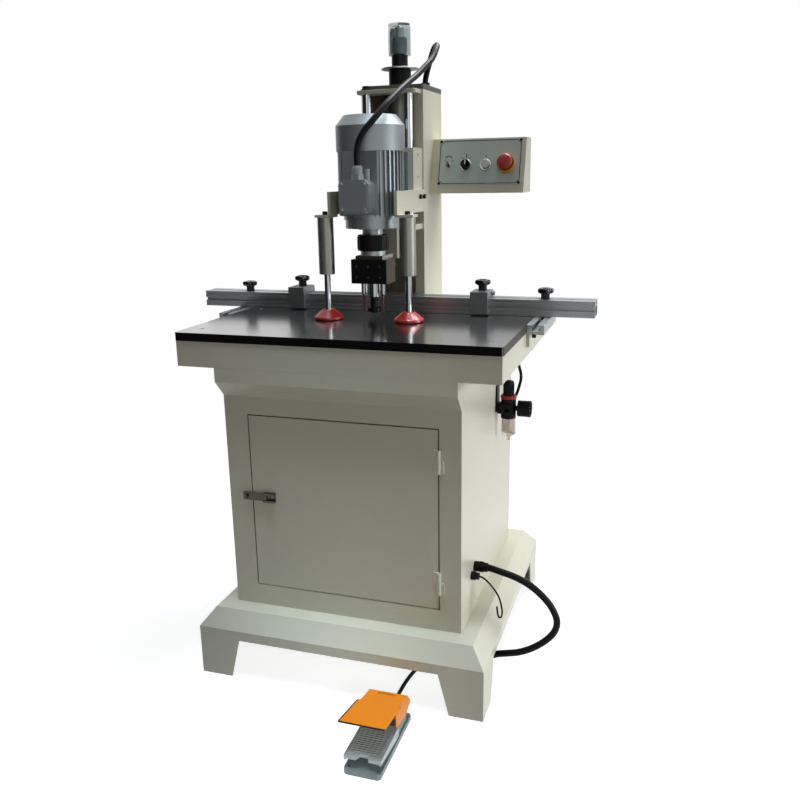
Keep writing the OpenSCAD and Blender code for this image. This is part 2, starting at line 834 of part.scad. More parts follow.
module motor_shaft() {
  color(steel) translate([0, spin_y, 0]) {
    bar([0, 0, coup_z], 12, motor_z + motor_l + 40 - coup_z);
    bar([0, 0, motor_z + 20], 60, 116);
    bar([0, 0, gear_z - 1], 7, coup_z + 2 - gear_z);
    translate([0, 0, gear_z + 22]) toothed(0, 14);
    translate([0, 0, motor_z + motor_l + 14]) {
      bar([0, 0, 0], 20, 24);
      for (a = [0:60:359]) rotate([0, 0, a]) block([15, -2, 0], [74, 2, 24]);
    }
  }
}

module coupling() {
  color(black) translate([0, spin_y, 0]) difference() {
    union() {
      bar([0, 0, coup_z], 38.5, nose_z - 0.6 - coup_z);
      for (a = [0:30:359]) rotate([0, 0, a]) block([35.5, -4, coup_z + 4], [39.5, 4, nose_z - 5]);
    }
    bar([0, 0, coup_z - 1], 12, 60);
  }
}

module gear_case() {
  w = gear_w / 2;
  y0 = ty + gear_set;
  y1 = y0 + gear_d;
  color([0.6, 0.52, 0.42]) difference() {
    union() {
      block([-w, y0, gear_z], [w, y1, gear_top]);
      block([-36, y0, gear_top - eps], [36, y1 + 16, gear_top + flange_t]);
      bar([0, spin_y, gear_top + flange_t - eps], 31.5, 11);
      block([-30, y1 - 1, gear_top - 30], [30, car_y, gear_top]);
    }
    block([-w + 5, y0 + 7, gear_z + 10], [w - 5, y1 - 8, gear_top - 8]);
    bar([0, spin_y, gear_z - 1], 7.4, 12);
    bar([0, spin_y, gear_z + 20], 7.4, 80);
    both() bar([hole_gap / 2, spin_y - hole_out, gear_z - 1], 5.4, gear_h - 12);
  }
}

module gear_cover() {
  w = gear_w / 2;
  y0 = ty + gear_set;
  color(black) {
    difference() {
      block([-w, y0 - 5, gear_z + 1], [w, y0, gear_top - eps]);
      for (x = [16 - w, 0, w - 16], z = [gear_z + 17, gear_top - 17])
        bar_y([x, y0 - 6, z], 3.2, 3);
    }
  }
}

module centre_chuck() {
  color(steel) translate([0, spin_y, 0]) difference() {
    union() {
      bar([0, 0, chuck_z], 17, gear_z - 1 - chuck_z);
    }
    bar([0, 0, chuck_z - 1], 5 + run_gap, 22);
    bar_x([8, 0, chuck_z + 12], 2.5, 12);
  }
}

module cup_bit() {
  color(black) translate([0, spin_y, 0]) {
    bar([0, 0, bit_z + 12], 5, chuck_z + 21 - bit_z - 12);
    bar([0, 0, bit_z + 13], 10, chuck_z - 1 - bit_z - 13);
    difference() {
      bar([0, 0, bit_z + 2], cup_r, 12);
      for (a = [0, 180]) rotate([0, 0, a]) block([2, 2, bit_z + 1], [30, 30, bit_z + 9]);
    }
    translate([0, 0, bit_z]) cylinder(r1 = 0.6, r2 = 3, h = 3);
  }
}

module side_spindle(s) {
  translate([s * hole_gap / 2, spin_y - hole_out, 0]) difference() {
    union() {
      bar([0, 0, chuck_z + 6], 6, gear_z - 1 - chuck_z - 6);
      bar([0, 0, gear_z - 2], 5, gear_h - 14);
      translate([0, 0, gear_z + 22]) toothed(s > 0 ? side_phase : 180 - side_phase, 14);
    }
    bar([0, 0, chuck_z], 3 + run_gap, 26);
  }
}

module side_bit(s) {
  translate([s * hole_gap / 2, spin_y - hole_out, 0]) {
    bar([0, 0, bit_z + 34], 3, chuck_z + 26 - bit_z - 34);
    difference() {
      bar([0, 0, bit_z + 3], drill_r, 32);
      for (a = [0, 180]) rotate([0, 0, a]) block([0.8, 0.8, bit_z + 2], [9, 9, bit_z + 30]);
    }
    translate([0, 0, bit_z]) cylinder(r1 = 0.4, r2 = 0.85 * drill_r, h = 3.2);
  }
}

module left_spindle() {
  color(steel) side_spindle(-1);
}

module right_spindle() {
  color(steel) side_spindle(1);
}

module left_bit() {
  color([0.7, 0.1, 0.09]) side_bit(-1);
}

module right_bit() {
  color([0.7, 0.1, 0.09]) side_bit(1);
}

module clamp_arms() {
  x0 = carriage_x;
  y1 = car_back - 14;
  color(cream) both() {
    difference() {
      union() {
        block([x0, arm_front, arm_z], [x0 + arm_t, y1, arm_z + arm_h]);
        block([x0, clamp_y - 20, arm_z - tab_t], [clamp_x + 20, clamp_y + 20, arm_z + eps]);
      }
      bar([0, spin_y, arm_z - 20], fin_r + 3, arm_h + 40);
      bar([clamp_x, clamp_y, arm_z - 20], 5.2, 60);
    }
    for (y = [y1 - 40, y1 - 6]) bar_x([x0 + arm_t - eps, y, arm_z + 38], 6, 6);
  }
}

module clamp_cylinders() {
  color(alu) both() translate([clamp_x, clamp_y, 0]) {
    difference() {
      bar([0, 0, cyl_low], clamp_r, cyl_top - cyl_low);
      bar([0, 0, cyl_low + 12], clamp_r - 3, cyl_top - cyl_low - 22);
      bar([0, 0, cyl_low - 1], clamp_rod_r + run_gap, 20);
    }
    bar([0, 0, cyl_top - eps], 5, tab_t + 2);
    bar([0, 0, cyl_top + tab_t + eps], 6.5, 8);
  }
}

module clamp_rod(s) {
  color(steel) translate([s * clamp_x, clamp_y, 0]) {
    bar([0, 0, table_h + 16], clamp_rod_r, cyl_low + 22 - table_h - 16);
    bar([0, 0, cyl_low + 18], clamp_r - 3.5, 14);
  }
}

module clamp_rod_left() {
  clamp_rod(-1);
}

module clamp_rod_right() {
  clamp_rod(1);
}

module clamp_foot(s) {
  r = clamp_foot_r;
  z = table_h + 1.5;
  color([0.72, 0.1, 0.08]) translate([s * clamp_x, spin_y - clamp_out, 0]) difference() {
    rotate_extrude() polygon([[0, z], [r - 1, z], [r, z + 1], [r, z + 6], [r - 2, z + 8],
      [18, z + 22], [16.5, z + 24], [0, z + 24]]);
    bar([0, 0, table_h + 16], clamp_rod_r + 0.02, 20);
  }
}

module clamp_foot_left() {
  clamp_foot(-1);
}

module clamp_foot_right() {
  clamp_foot(1);
}

module control_box() {
  t = 2.5;
  y1 = box_y + box_d;
  z1 = box_z + box_h;
  color(cream) difference() {
    along_x(box_x, box_x + box_w, [[box_y, box_z], [box_top_y, z1], [y1, z1], [y1, box_z]]);
    along_x(box_x + t, box_x + box_w - t, [[box_y + t + 1, box_z + t], [box_top_y + t, z1 - t],
      [y1 - t, z1 - t], [y1 - t, box_z + t]]);
    on_face(row_x[0], row_s) bar([0, 0, -20], 4.5, 40);
    for (i = [1:3]) on_face(row_x[i], row_s) bar([0, 0, -20], 11.5, 40);
  }
}

module control_panel() {
  l = box_h / cos(box_tilt);
  c = 7;
  x0 = 19;
  x1 = box_w - 9;
  color([0.5, 0.54, 0.57]) difference() {
    on_face(box_x, 0) linear_extrude(1.5) polygon([[x0 + c, 22], [x1 - c, 22], [x1, 22 + c],
      [x1, l - 3 - c], [x1 - c, l - 3], [x0 + c, l - 3], [x0, l - 3 - c], [x0, 22 + c]]);
    on_face(row_x[0], row_s) bar([0, 0, -20], 4.5, 40);
    for (i = [1:3]) on_face(row_x[i], row_s) bar([0, 0, -20], 11.5, 40);
  }
}

module collar(x, r, h, bore) {
  on_face(x, row_s) difference() {
    union() {
      bar([0, 0, 1.5], r, h);
      bar([0, 0, -18], bore + 3, 20);
    }
    bar([0, 0, -19], bore, 60);
  }
}

module switch_collars() {
  color(steel) {
    collar(row_x[0], 7, 3, 1.4);
    collar(row_x[1], 15.5, 5, 8);
    collar(row_x[2], 15.5, 5, 8);
    collar(row_x[3], 24, 4, 8);
    on_face(row_x[3], row_s) difference() {
      bar([0, 0, 5], 24, 15);
      bar([0, 0, 4], 20.8, 17);
    }
  }
}

module toggle() {
  color(steel) on_face(row_x[0], row_s) {
    bar([0, 0, -14], 1, 24);
    bar([0, 0, 5.2], 5, 4);
    block([-1.5, -6.5, 9], [1.5, 6.5, 18]);
  }
}

module selector_knob() {
  color(black) on_face(row_x[1], row_s) {
    bar([0, 0, -16], 7.6, 24);
    bar([0, 0, 7], 12.5, 8);
    block([-3, -11, 14], [3, 11, 16.5]);
  }
}

module push_button() {
  color([0.8, 0.8, 0.79]) on_face(row_x[2], row_s) {
    bar([0, 0, -12], 7.6, 24);
    bar([0, 0, 11], 11.5, 4);
  }
}

module estop_head() {
  color([0.75, 0.1, 0.08]) on_face(row_x[3], row_s) {
    bar([0, 0, -12], 7.6, 36);
    bar([0, 0, 22], 17, 4);
    rotate_extrude() polygon([[0, 25], [19, 25], [20, 27], [20, 32], [17, 36], [9, 38], [0, 38]]);
  }
}

module frl_body() {
  x = cab_w / 2;
  z = frl_z;
  color(black) difference() {
    union() {
      bar([frl_x, frl_y, z], frl_r, 53);
      block([frl_x - 15, frl_y - 24, z + 10], [frl_x + 15, frl_y + 24, z + 42]);
      block([x + 3, frl_y - 11, z + 12], [frl_x, frl_y + 11, z + 40]);
      block([x, frl_y - 16, z + 18], [x + 4, frl_y + 16, z + 86]);
      bar_x([frl_x, frl_y, z + 27], 7, frl_r + 6);
    }
    bar_y([frl_x, frl_y - 25, z + 26], port_r, 14);
    bar([frl_x, frl_y, z + 30], 8, 30);
  }
}

module frl_bowl() {
  z = frl_z;
  color([0.75, 0.78, 0.8]) {
    difference() {
      bar([frl_x, frl_y, z - 45], 19, 45);
      bar([frl_x, frl_y, z - 40], 16, 40 + eps);
    }
    translate([frl_x, frl_y, z - 53]) cylinder(r1 = 8, r2 = 15, h = 8 + eps);
    bar([frl_x, frl_y, z - 62], 5, 9 + eps);
  }
}

module frl_knob() {
  z = frl_z + 53;
  color(black) {
    bar([frl_x, frl_y, z - 14], 6, 15);
    bar([frl_x, frl_y, z + 0.4], 21, 9.6);
    bar([frl_x, frl_y, z + 10 - eps], 15, 38);
  }
}

module gauge_case() {
  x = frl_x + frl_r + 6;
  z = frl_z + 27;
  color(black) {
    difference() {
      bar_x([x, frl_y, z], 21.5, 34);
      bar_x([x + 28, frl_y, z], 19, 10);
    }
    bar_x([x + 27, frl_y, z], 2, 5);
    translate([x + 30, frl_y, z]) rotate([130, 0, 0]) block([0, -1, -4], [1.5, 1, 15]);
  }
}

module glands() {
  x = cab_w / 2;
  color(black) {
    bar_x([x, gland_y, gland_z], 13, 14);
    translate([x + 13.9, gland_y, gland_z]) rotate([0, 90, 0]) cylinder(r = 15, h = 10, $fn = 6);
    bar_x([x + 23.8, gland_y, gland_z], 11.5, 10.2);
    translate([x, lead_y, lead_z]) rotate([0, 90, 0]) cylinder(r = 12, h = 11, $fn = 6);
    bar_x([x + 10.9, lead_y, lead_z], 9, 9.1);
  }
}

module pedal_base() {
  x0 = pedal_x - pedal_w / 2;
  x1 = pedal_x + pedal_w / 2;
  y1 = pedal_y + pedal_l;
  c = 6;
  color(grey) {
    difference() {
      linear_extrude(pedal_t) polygon([[x0 + c, pedal_y], [x1 - c, pedal_y], [x1, pedal_y + c],
        [x1, y1 - c], [x1 - c, y1], [x0 + c, y1], [x0, y1 - c], [x0, pedal_y + c]]);
      for (x = [x0 + 10, x1 - 10], y = [pedal_y + 12, y1 - 12]) bar([x, y, -1], 3, 20);
    }
    for (s = [-1, 1]) difference() {
      block([pedal_x + s * 32 - 4, tread_y - 9, pedal_t - eps],
        [pedal_x + s * 32 + 4, tread_y + 9, tread_z + 9]);
      bar_x([pedal_x - 50, tread_y, tread_z], 4, 100);
    }
    bar_x([pedal_x - 42, tread_y, tread_z], 4 - eps, 84);
    block([pedal_x - 38, tread_y + 22, pedal_t - eps], [pedal_x + 38, y1 - 26, 60]);
  }
}

module treadle() {
  h = pedal_w / 2;
  y0 = pedal_y + 7;
  y1 = tread_y + 12;
  color(grey) translate([pedal_x, 0, 0]) difference() {
    union() {
      block([-h, y0, 35], [h, y1, 43]);
      for (y = [y0 + 16:7:y1 - 30]) block([-h + 6, y, 42], [h - 6, y + 3, 46]);
      both() along_x(h - 5, h, [[y0, 32], [y0, 36], [y1, 36], [y1, 20], [tread_y - 10, 20]]);
    }
    translate([0, 0, 20]) linear_extrude(30)
      polygon([[-15, y0 - 1], [15, y0 - 1], [9, y0 + 12], [-9, y0 + 12]]);
    bar_x([-60, tread_y, tread_z], 4 + run_gap, 120);
    both() block([27, tread_y - 16, 0], [37, tread_y + 20, 39]);
  }
}

module pedal_guard() {
  w0 = 46;
  y1 = pedal_y + pedal_l - 40;
  y0 = pedal_y + 11;
  t = 2.5;
  zb = 88;
  ys = tread_y + 6;
  yf = tread_y - 14;
  zf = zb + (guard_h - zb) * (y1 - yf) / (y1 - y0);
  color([0.94, 0.5, 0.1]) translate([pedal_x, 0, 0]) {
    difference() {
      intersection() {
        along_x(-guard_w - 5, guard_w + 5, [[y0, guard_h - t], [y0, guard_h], [y1, zb],
          [y1 + 22, 62], [y1 + 22, 60], [y1, zb - t]]);
        linear_extrude(200) polygon([[-guard_w, y0], [guard_w, y0], [guard_w - 1, ys],
          [w0, ys + 4], [w0, y1 + 30], [-w0, y1 + 30], [-w0, ys + 4], [1 - guard_w, ys]]);
      }
      block([-23, y1 - 13, zb - 10], [23, y1 - 8, zb + 20]);
    }
    both() along_x(w0 - t, w0, [[yf, zf - 1], [y1, zb - 1], [y1 + 20, 62], [y1 + 20, 58],
      [tread_y + 58, 47], [tread_y + 42, 47], [yf, 58]]);
    both() block([38, tread_y + 44, 48], [w0 - t + eps, tread_y + 56, 58]);
  }
}

cable_route = [[4, ty + 205, motor_z + 122], [4, ty + 204, 1296], [9, ty + 204, 1320],
  [23, ty + 204, 1345], [44, ty + 210, 1369], [64, ty + 238, 1401], [76, ty + 285, 1430],
  [85, ty + 340, 1457], [97, ty + 395, 1483], [107, ty + 435, 1507], [114, ty + 470, 1528],
  [116, ty + 500, 1553], [112, ty + 522, 1566], [98, ty + 541, 1559], [79, ty + 560, 1522],
  [69, ty + 570, 1499], [66, ty + 572, lid_z + 14]];

module motor_cable() {
  p = concat([[4, ty + 205, motor_z + 119]], smooth(cable_route, 2), [[66, ty + 572, lid_z + 10]]);
  color(black) sweep(p, [for (i = p) cable_r], 10);
}

conduit_route = [[cab_w / 2 + 38, gland_y, gland_z], [369, ty + 172, 285], [410, ty + 168, 276],
  [448, ty + 166, 258], [481, ty + 164, 231], [501, ty + 163, 205], [512, ty + 162, 175],
  [506, ty + 161, 146], [484, ty + 160, 118], [453, ty + 160, 93], [420, ty + 160, 76],
  [388, ty + 160, 67], [362, ty + 160, 60], [335, ty + 159, 46], [300, ty + 160, 24],
  [265, ty + 163, 12], [225, ty + 162, 9], [187, ty + 149, 7], [164, ty + 124, 6],
  [156, ty + 90, 6], [152, ty + 50, 6], [151, ty + 10, 6], [154, ty - 28, 13],
  [160, ty - 60, 25], [pedal_x, pedal_y + pedal_l - 22, 32]];

module pedal_conduit() {
  p = concat([[cab_w / 2 + 34, gland_y, gland_z]], smooth(conduit_route, 2),
    [[pedal_x, pedal_y + pedal_l - 26, 32]]);
  thin = 2 * 15;
  color(black) sweep(p, [for (i = [0:len(p) - 1])
    i < thin ? conduit_r : max(pedal_lead_r, conduit_r - 0.9 * (i - thin))], 10);
}

lead_route = [[cab_w / 2 + 22, lead_y, lead_z], [332, lead_y, 276], [345, lead_y, 265],
  [357, lead_y, 251], [366, lead_y, 238], [373, lead_y, 222], [377, lead_y, 205],
  [379, lead_y - 1, 190], [377, lead_y - 2, 178], [371, lead_y - 3, 178], [368, lead_y - 4, 190],
  [366, lead_y - 4, 206]];

module sensor_lead() {
  p = concat([[cab_w / 2 + 20, lead_y, lead_z]], smooth(lead_route, 2));
  color(black) sweep(p, [for (i = p) lead_r], 8);
}

hose_route = [[frl_x, frl_y + 27, frl_z + 26], [frl_x + 2, frl_y + 37, frl_z + 32],
  [345, frl_y + 40, 664], [353, frl_y + 40, 690], [357, frl_y + 40, 710], [356, frl_y + 40, 727],
  [351, frl_y + 40, 746], [346, frl_y + 40, 775], [344, frl_y + 40, 810], [344, frl_y + 40, cab_top - 5]];

module air_hose() {
  p = concat([[frl_x, frl_y + 24, frl_z + 26]], smooth(hose_route, 2), [[344, frl_y + 40, cab_top]]);
  color(black) sweep(p, [for (i = p) hose_r], 10);
}

plinth();
cabinet();
door();
hasp();
apron();
table_top();
fence_rails();
fence();
fence_knob_left();
fence_knob_right();
stop_left();
stop_right();
stop_knob_left();
stop_knob_right();
column();
column_lid();
guide_rods();
feed_cylinder();
feed_rod();
depth_nut();
stop_cap();
carriage();
motor_frame();
fan_cover();
terminal_box();
motor_shaft();
coupling();
gear_case();
gear_cover();
centre_chuck();
cup_bit();
left_spindle();
left_bit();
right_spindle();
right_bit();
clamp_arms();
clamp_cylinders();
clamp_rod_left();
clamp_rod_right();
clamp_foot_left();
clamp_foot_right();
control_box();
control_panel();
switch_collars();
toggle();
selector_knob();
push_button();
estop_head();
frl_body();
frl_bowl();
frl_knob();
gauge_case();
glands();
pedal_base();
pedal_guard();
treadle();
motor_cable();
pedal_conduit();
sensor_lead();
air_hose();
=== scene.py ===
# %% [markdown]
# # A hinge drilling machine, dressed for its portrait
#
# The machine bores the cup hole and the two screw holes of a furniture hinge in one stroke. Its solids
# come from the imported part, which stays the measure of every place. This lesson adds what a solid
# lacks: eased edges, paint, brushed metal, screws, a dial and cables.

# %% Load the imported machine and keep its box
import json
import math

import bmesh
import bpy
import numpy as np
from mathutils import Matrix, Vector


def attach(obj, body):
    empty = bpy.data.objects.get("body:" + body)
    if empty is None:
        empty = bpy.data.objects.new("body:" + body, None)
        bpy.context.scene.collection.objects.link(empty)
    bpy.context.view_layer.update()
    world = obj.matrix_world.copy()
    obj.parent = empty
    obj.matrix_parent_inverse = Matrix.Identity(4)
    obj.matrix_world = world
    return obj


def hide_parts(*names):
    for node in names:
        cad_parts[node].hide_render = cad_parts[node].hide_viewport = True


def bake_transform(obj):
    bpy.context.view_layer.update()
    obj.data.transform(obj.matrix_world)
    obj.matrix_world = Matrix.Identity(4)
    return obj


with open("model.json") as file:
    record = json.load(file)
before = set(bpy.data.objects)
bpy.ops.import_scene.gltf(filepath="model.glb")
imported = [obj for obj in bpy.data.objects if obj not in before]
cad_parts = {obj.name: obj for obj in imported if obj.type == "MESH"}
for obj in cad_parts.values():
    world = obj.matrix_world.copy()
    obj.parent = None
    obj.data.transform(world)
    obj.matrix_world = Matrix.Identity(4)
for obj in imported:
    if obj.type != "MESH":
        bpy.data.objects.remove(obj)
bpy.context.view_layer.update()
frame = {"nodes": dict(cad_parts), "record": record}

MM = 0.001
WELD_M, SLIVER_M = 1e-7, 1e-8
nodes = frame["nodes"]
body_of_node = {n: b for b, ns in frame["record"]["behaviour"]["bodies"].items() for n in ns}

# %% [markdown]
# ## The camera
#
# The photographer stood in front of the machine and a little to its right, with the lens just above
# the table. The place, the turn and the lens were worked out from straight edges of the machine, so
# the camera is written as a point, two angles, a small roll and a focal length in pixels.

# %% Camera from the fitted angles
EYE = np.array([733.96, -1927.9, 1243.82]) * MM
TURN, DIP, ROLL = np.radians([18.24, 14.98, -0.98])
FOCAL_PX, FRAME_PX, SENSOR = 838.83, 800.0, 36.0

ahead = np.array([-math.sin(TURN) * math.cos(DIP), math.cos(TURN) * math.cos(DIP), -math.sin(DIP)])
right = np.array([math.cos(TURN), math.sin(TURN), 0.0])
above = np.cross(right, ahead)
right, above = (math.cos(ROLL) * right + math.sin(ROLL) * above,
                math.cos(ROLL) * above - math.sin(ROLL) * right)

lens = bpy.data.cameras.new("camera")
lens.sensor_width = SENSOR
lens.lens = SENSOR * FOCAL_PX / FRAME_PX
camera = bpy.data.objects.new("camera", lens)
bpy.context.scene.collection.objects.link(camera)
pose = np.eye(4)
pose[:3, 0], pose[:3, 1], pose[:3, 2], pose[:3, 3] = right, above, -ahead, EYE
camera.matrix_world = Matrix(pose.tolist())
bpy.context.scene.camera = camera
print("lens", round(lens.lens, 2), "mm")

# %% [markdown]
# ## From arrays to meshes
#
# Every new piece is one or more grids of points. A grid has rows and columns; neighbouring points make
# a four-sided face, and a grid that runs round an axis closes on itself. Doubled points at poles and
# seams are merged, and the faces are then turned outwards.

# %% Grid surfaces
def piece(name, grids, coat, body, smooth=True, sharp=35):
    """Makes one object from grids of shape rows x columns x 3, in mm. A grid's last column is joined to
    its first one."""
    points, faces, start = [], [], 0
    for g in grids:
        m, n = g.shape[:2]
        i, j = np.meshgrid(np.arange(m - 1), np.arange(n), indexing="ij")
        k = (j + 1) % n
        quad = np.stack([i * n + j, i * n + k, (i + 1) * n + k, (i + 1) * n + j], -1).reshape(-1, 4)
        points.append(g.reshape(-1, 3) * MM)
        faces.append(quad + start)
        start += m * n
    mesh = bpy.data.meshes.new(name)
    mesh.from_pydata(np.concatenate(points), [], np.concatenate(faces).tolist())
    bm = bmesh.new()
    bm.from_mesh(mesh)
    bmesh.ops.remove_doubles(bm, verts=bm.verts, dist=WELD_M)
    bmesh.ops.dissolve_degenerate(bm, edges=bm.edges, dist=SLIVER_M)
    bmesh.ops.recalc_face_normals(bm, faces=bm.faces)
    bm.to_mesh(mesh)
    bm.free()
    return dress(name, mesh, [coat], body, smooth, sharp)


def dress(name, mesh, finishes, body, smooth=True, sharp=35):
    """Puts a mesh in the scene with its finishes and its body."""
    for f in finishes:
        mesh.materials.append(f)
    mesh.polygons.foreach_set("use_smooth", np.full(len(mesh.polygons), smooth))
    if smooth:
        mesh.set_sharp_from_angle(angle=math.radians(sharp))
    ob = bpy.data.objects.new(name, mesh)
    bpy.context.scene.collection.objects.link(ob)
    if body:
        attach(ob, body)
    return ob


def turned(profile, n=48, lobes=None):
    """A profile of (radius, height) pairs carried once round the Z axis. lobes(angle, row) may scale the
    radius, for flutes, ribs and hexagons."""
    p = np.asarray(profile, float)
    a = np.linspace(0, 2 * np.pi, n, endpoint=False)
    r = np.repeat(p[:, :1], n, 1)
    if lobes is not None:
        r = r * lobes(a[None, :], np.arange(len(p))[:, None])
    return np.stack([r * np.cos(a), r * np.sin(a), np.repeat(p[:, 1:], n, 1)], -1)


def placed(grids, at, normal=(0, 0, 1)):
    """Grids made about the Z axis, stood on a point with Z turned to the normal."""
    z = np.array(normal, float) / np.linalg.norm(normal)
    side = np.array([1.0, 0, 0]) if abs(z[0]) < 0.9 else np.array([0, 1.0, 0])
    y = np.cross(z, side)
    y /= np.linalg.norm(y)
    basis = np.stack([np.cross(y, z), y, z])
    return [g @ basis + np.array(at, float) for g in grids]


def capped(rings):
    """Closes a stack of rings at both ends with their middle points."""
    ends = [np.repeat(rings[i].mean(0)[None, None], rings.shape[1], 1) for i in (0, -1)]
    return np.concatenate([ends[0], rings, ends[1]])


# %% [markdown]
# ## Finishes
#
# A finish starts from what the real surface is and how it was made. Colours are written as they look on
# a screen and turned to linear light by one function. Patterns read object coordinates, which are
# metres here, so a pattern's scale is one over its real size.

# %% Colour and node helpers
def linear(hex_text):
    """An sRGB hex colour as linear red, green, blue and alpha."""
    v = np.array([int(hex_text[i:i + 2], 16) for i in (1, 3, 5)]) / 255
    v = np.where(v <= 0.04045, v / 12.92, ((v + 0.055) / 1.055) ** 2.4)
    return (*v.tolist(), 1.0)


def add(tree, kind, inputs=None, **settings):
    """Adds one node: settings are its own properties, inputs are constants or links by socket name or
    number."""
    node = tree.nodes.new(kind)
    for key, value in settings.items():
        setattr(node, key, value)
    for key, value in (inputs or {}).items():
        if isinstance(value, bpy.types.NodeSocket):
            tree.links.new(value, node.inputs[key])
        else:
            node.inputs[key].default_value = value
    return node


def blank(name):
    """A material with an empty node tree."""
    m = bpy.data.materials.new(name)
    m.use_nodes = True
    m.node_tree.nodes.clear()
    return m, m.node_tree


SCUFF_MM, SCUFF_FROM, SCUFF_FULL = 9.0, 0.62, 0.75
GRAIN_LOW, GRAIN_HIGH, GRAIN_BUMP = 0.3, 0.7, 0.6


def finish(name, colour, other=None, mottle_mm=60, rough=(0.4, 0.5), grain_mm=2.0, lift_mm=0.05,
           stretch=(1, 1, 1), scuff=0.0, scuff_colour="#8A8578", **shader):
    """One surface finish. Two close colours are mixed by a broad cloud of mottle_mm, roughness wanders
    between two values, and a fine grain of grain_mm lifts the surface by lift_mm. stretch squeezes the
    grain along an axis for brushed metal. scuff rubs a second colour in where a patchy noise is high."""
    m, t = blank(name)
    place = add(t, "ShaderNodeTexCoord").outputs["Object"]
    cloud = add(t, "ShaderNodeTexNoise", {"Vector": place, "Scale": 1000 / mottle_mm, "Detail": 4.0})
    tint = add(t, "ShaderNodeMix", {0: cloud.outputs["Fac"], 6: linear(colour), 7: linear(other or colour)},
               data_type="RGBA").outputs[2]
    if scuff:
        patch = add(t, "ShaderNodeTexNoise", {"Vector": place, "Scale": 1000 / SCUFF_MM, "Detail": 8.0})
        worn = add(t, "ShaderNodeMapRange", {"Value": patch.outputs["Fac"], "From Min": SCUFF_FROM,
                                             "From Max": SCUFF_FULL, "To Max": scuff})
        tint = add(t, "ShaderNodeMix", {0: worn.outputs["Result"], 6: tint, 7: linear(scuff_colour)},
                   data_type="RGBA").outputs[2]
    warp = add(t, "ShaderNodeMapping", {"Vector": place, "Scale": stretch})
    grain = add(t, "ShaderNodeTexNoise", {"Vector": warp.outputs["Vector"], "Scale": 1000 / grain_mm,
                                          "Detail": 3.0})
    gloss = add(t, "ShaderNodeMapRange", {"Value": grain.outputs["Fac"], "From Min": GRAIN_LOW,
                                          "From Max": GRAIN_HIGH, "To Min": rough[0], "To Max": rough[1]})
    bump = add(t, "ShaderNodeBump", {"Height": grain.outputs["Fac"], "Strength": GRAIN_BUMP,
                                     "Distance": lift_mm * MM})
    values = {"Base Color": tint, "Roughness": gloss.outputs["Result"], "Normal": bump.outputs["Normal"]}
    values.update({k.replace("_", " "): v for k, v in shader.items()})
    surface = add(t, "ShaderNodeBsdfPrincipled", values)
    add(t, "ShaderNodeOutputMaterial", {"Surface": surface.outputs["BSDF"]})
    return m


# %% [markdown]
# The stand is folded sheet with sprayed ivory enamel: a satin gloss with the faint orange peel that a
# spray gun leaves, about 2 mm from hump to hump. The motor has a silver-grey enamel on cast fins, and a
# duller one on its fan cover.

# %% Paints
ivory_enamel = finish("ivory_enamel", "#D7D3BF", "#D1CDB8", 180, (0.30, 0.42), 2.2, 0.02,
                      scuff=0.10, Coat_Weight=0.15, Coat_Roughness=0.2)
silver_enamel = finish("silver_grey_enamel", "#979EA0", "#8C9396", 40, (0.32, 0.46), 1.1, 0.05,
                       Metallic=0.72)
cover_enamel = finish("silver_cover_enamel", "#8F9698", "#848B8E", 40, (0.41, 0.52), 1.1, 0.05,
                      Metallic=0.74)
red_enamel = finish("red_enamel", "#B3231C", "#A31C16", 25, (0.22, 0.36), 1.4, 0.03, scuff=0.15,
                    scuff_colour="#6E1812", Coat_Weight=0.3)
red_lacquer = finish("dark_red_lacquer", "#7E1420", "#6E101B", 10, (0.26, 0.38), 0.8, 0.02)
orange_enamel = finish("orange_enamel", "#EC8806", "#E67E04", 40, (0.36, 0.5), 1.2, 0.03,
                       Specular_IOR_Level=0.25)
dark_enamel = finish("dark_phosphate", "#4A4841", "#3E3C36", 30, (0.45, 0.6), 1.0, 0.04, scuff=0.25,
                     scuff_colour="#6B675C")
panel_enamel = finish("panel_grey_enamel", "#BECBC8", "#B7C4C1", 50, (0.4, 0.5), 0.7, 0.02)
print("paints", [m.name for m in (ivory_enamel, silver_enamel, red_enamel, orange_enamel)])

# %% [markdown]
# Bare metals keep the default index of refraction. A brushed or extruded metal has long streaks along
# the way it was drawn, so its grain is squeezed across that way. Chrome has no streaks, only smudges.

# %% Metals
anodised = finish("anodised_aluminium", "#A9AEAF", "#9BA0A1", 30, (0.28, 0.42), 1.2, 0.02,
                  (0.02, 1, 1), Metallic=0.9)
turned_alu = finish("turned_aluminium", "#8E8E87", "#828279", 30, (0.3, 0.42), 0.8, 0.015,
                    (0.1, 0.1, 1), Metallic=0.85)
milled_alu = finish("milled_aluminium", "#A9ACAC", "#8F9393", 14, (0.35, 0.5), 1.5, 0.03,
                    (0.1, 1, 1), Metallic=0.8)
sawn_alu = finish("sawn_aluminium", "#8E9394", "#7F8485", 14, (0.32, 0.46), 1.5, 0.03, Metallic=0.85)
hard_chrome = finish("hard_chrome", "#ABAEB0", "#A1A5A8", 20, (0.06, 0.14), 6.0, 0.002, Metallic=1.0)
steel = finish("machined_steel", "#A6A8A8", "#94979A", 12, (0.25, 0.38), 0.6, 0.01, (0.1, 0.1, 1),
               Metallic=1.0)
bronze = finish("dull_bronze", "#4A4136", "#3E362C", 16, (0.45, 0.6), 0.9, 0.05, Metallic=0.2,
                Specular_IOR_Level=0.2)
black_oxide = finish("black_oxide_steel", "#08090A", "#0C0D0E", 10, (0.3, 0.45), 0.8, 0.02,
                     Specular_IOR_Level=0.16)
blued_steel = finish("grey_blued_steel", "#6A7577", "#5F6A6C", 10, (0.3, 0.42), 0.8, 0.02, Metallic=0.5)
zinc = finish("dull_zinc_plate", "#54524B", "#494740", 10, (0.26, 0.4), 0.9, 0.02, Metallic=0.9)
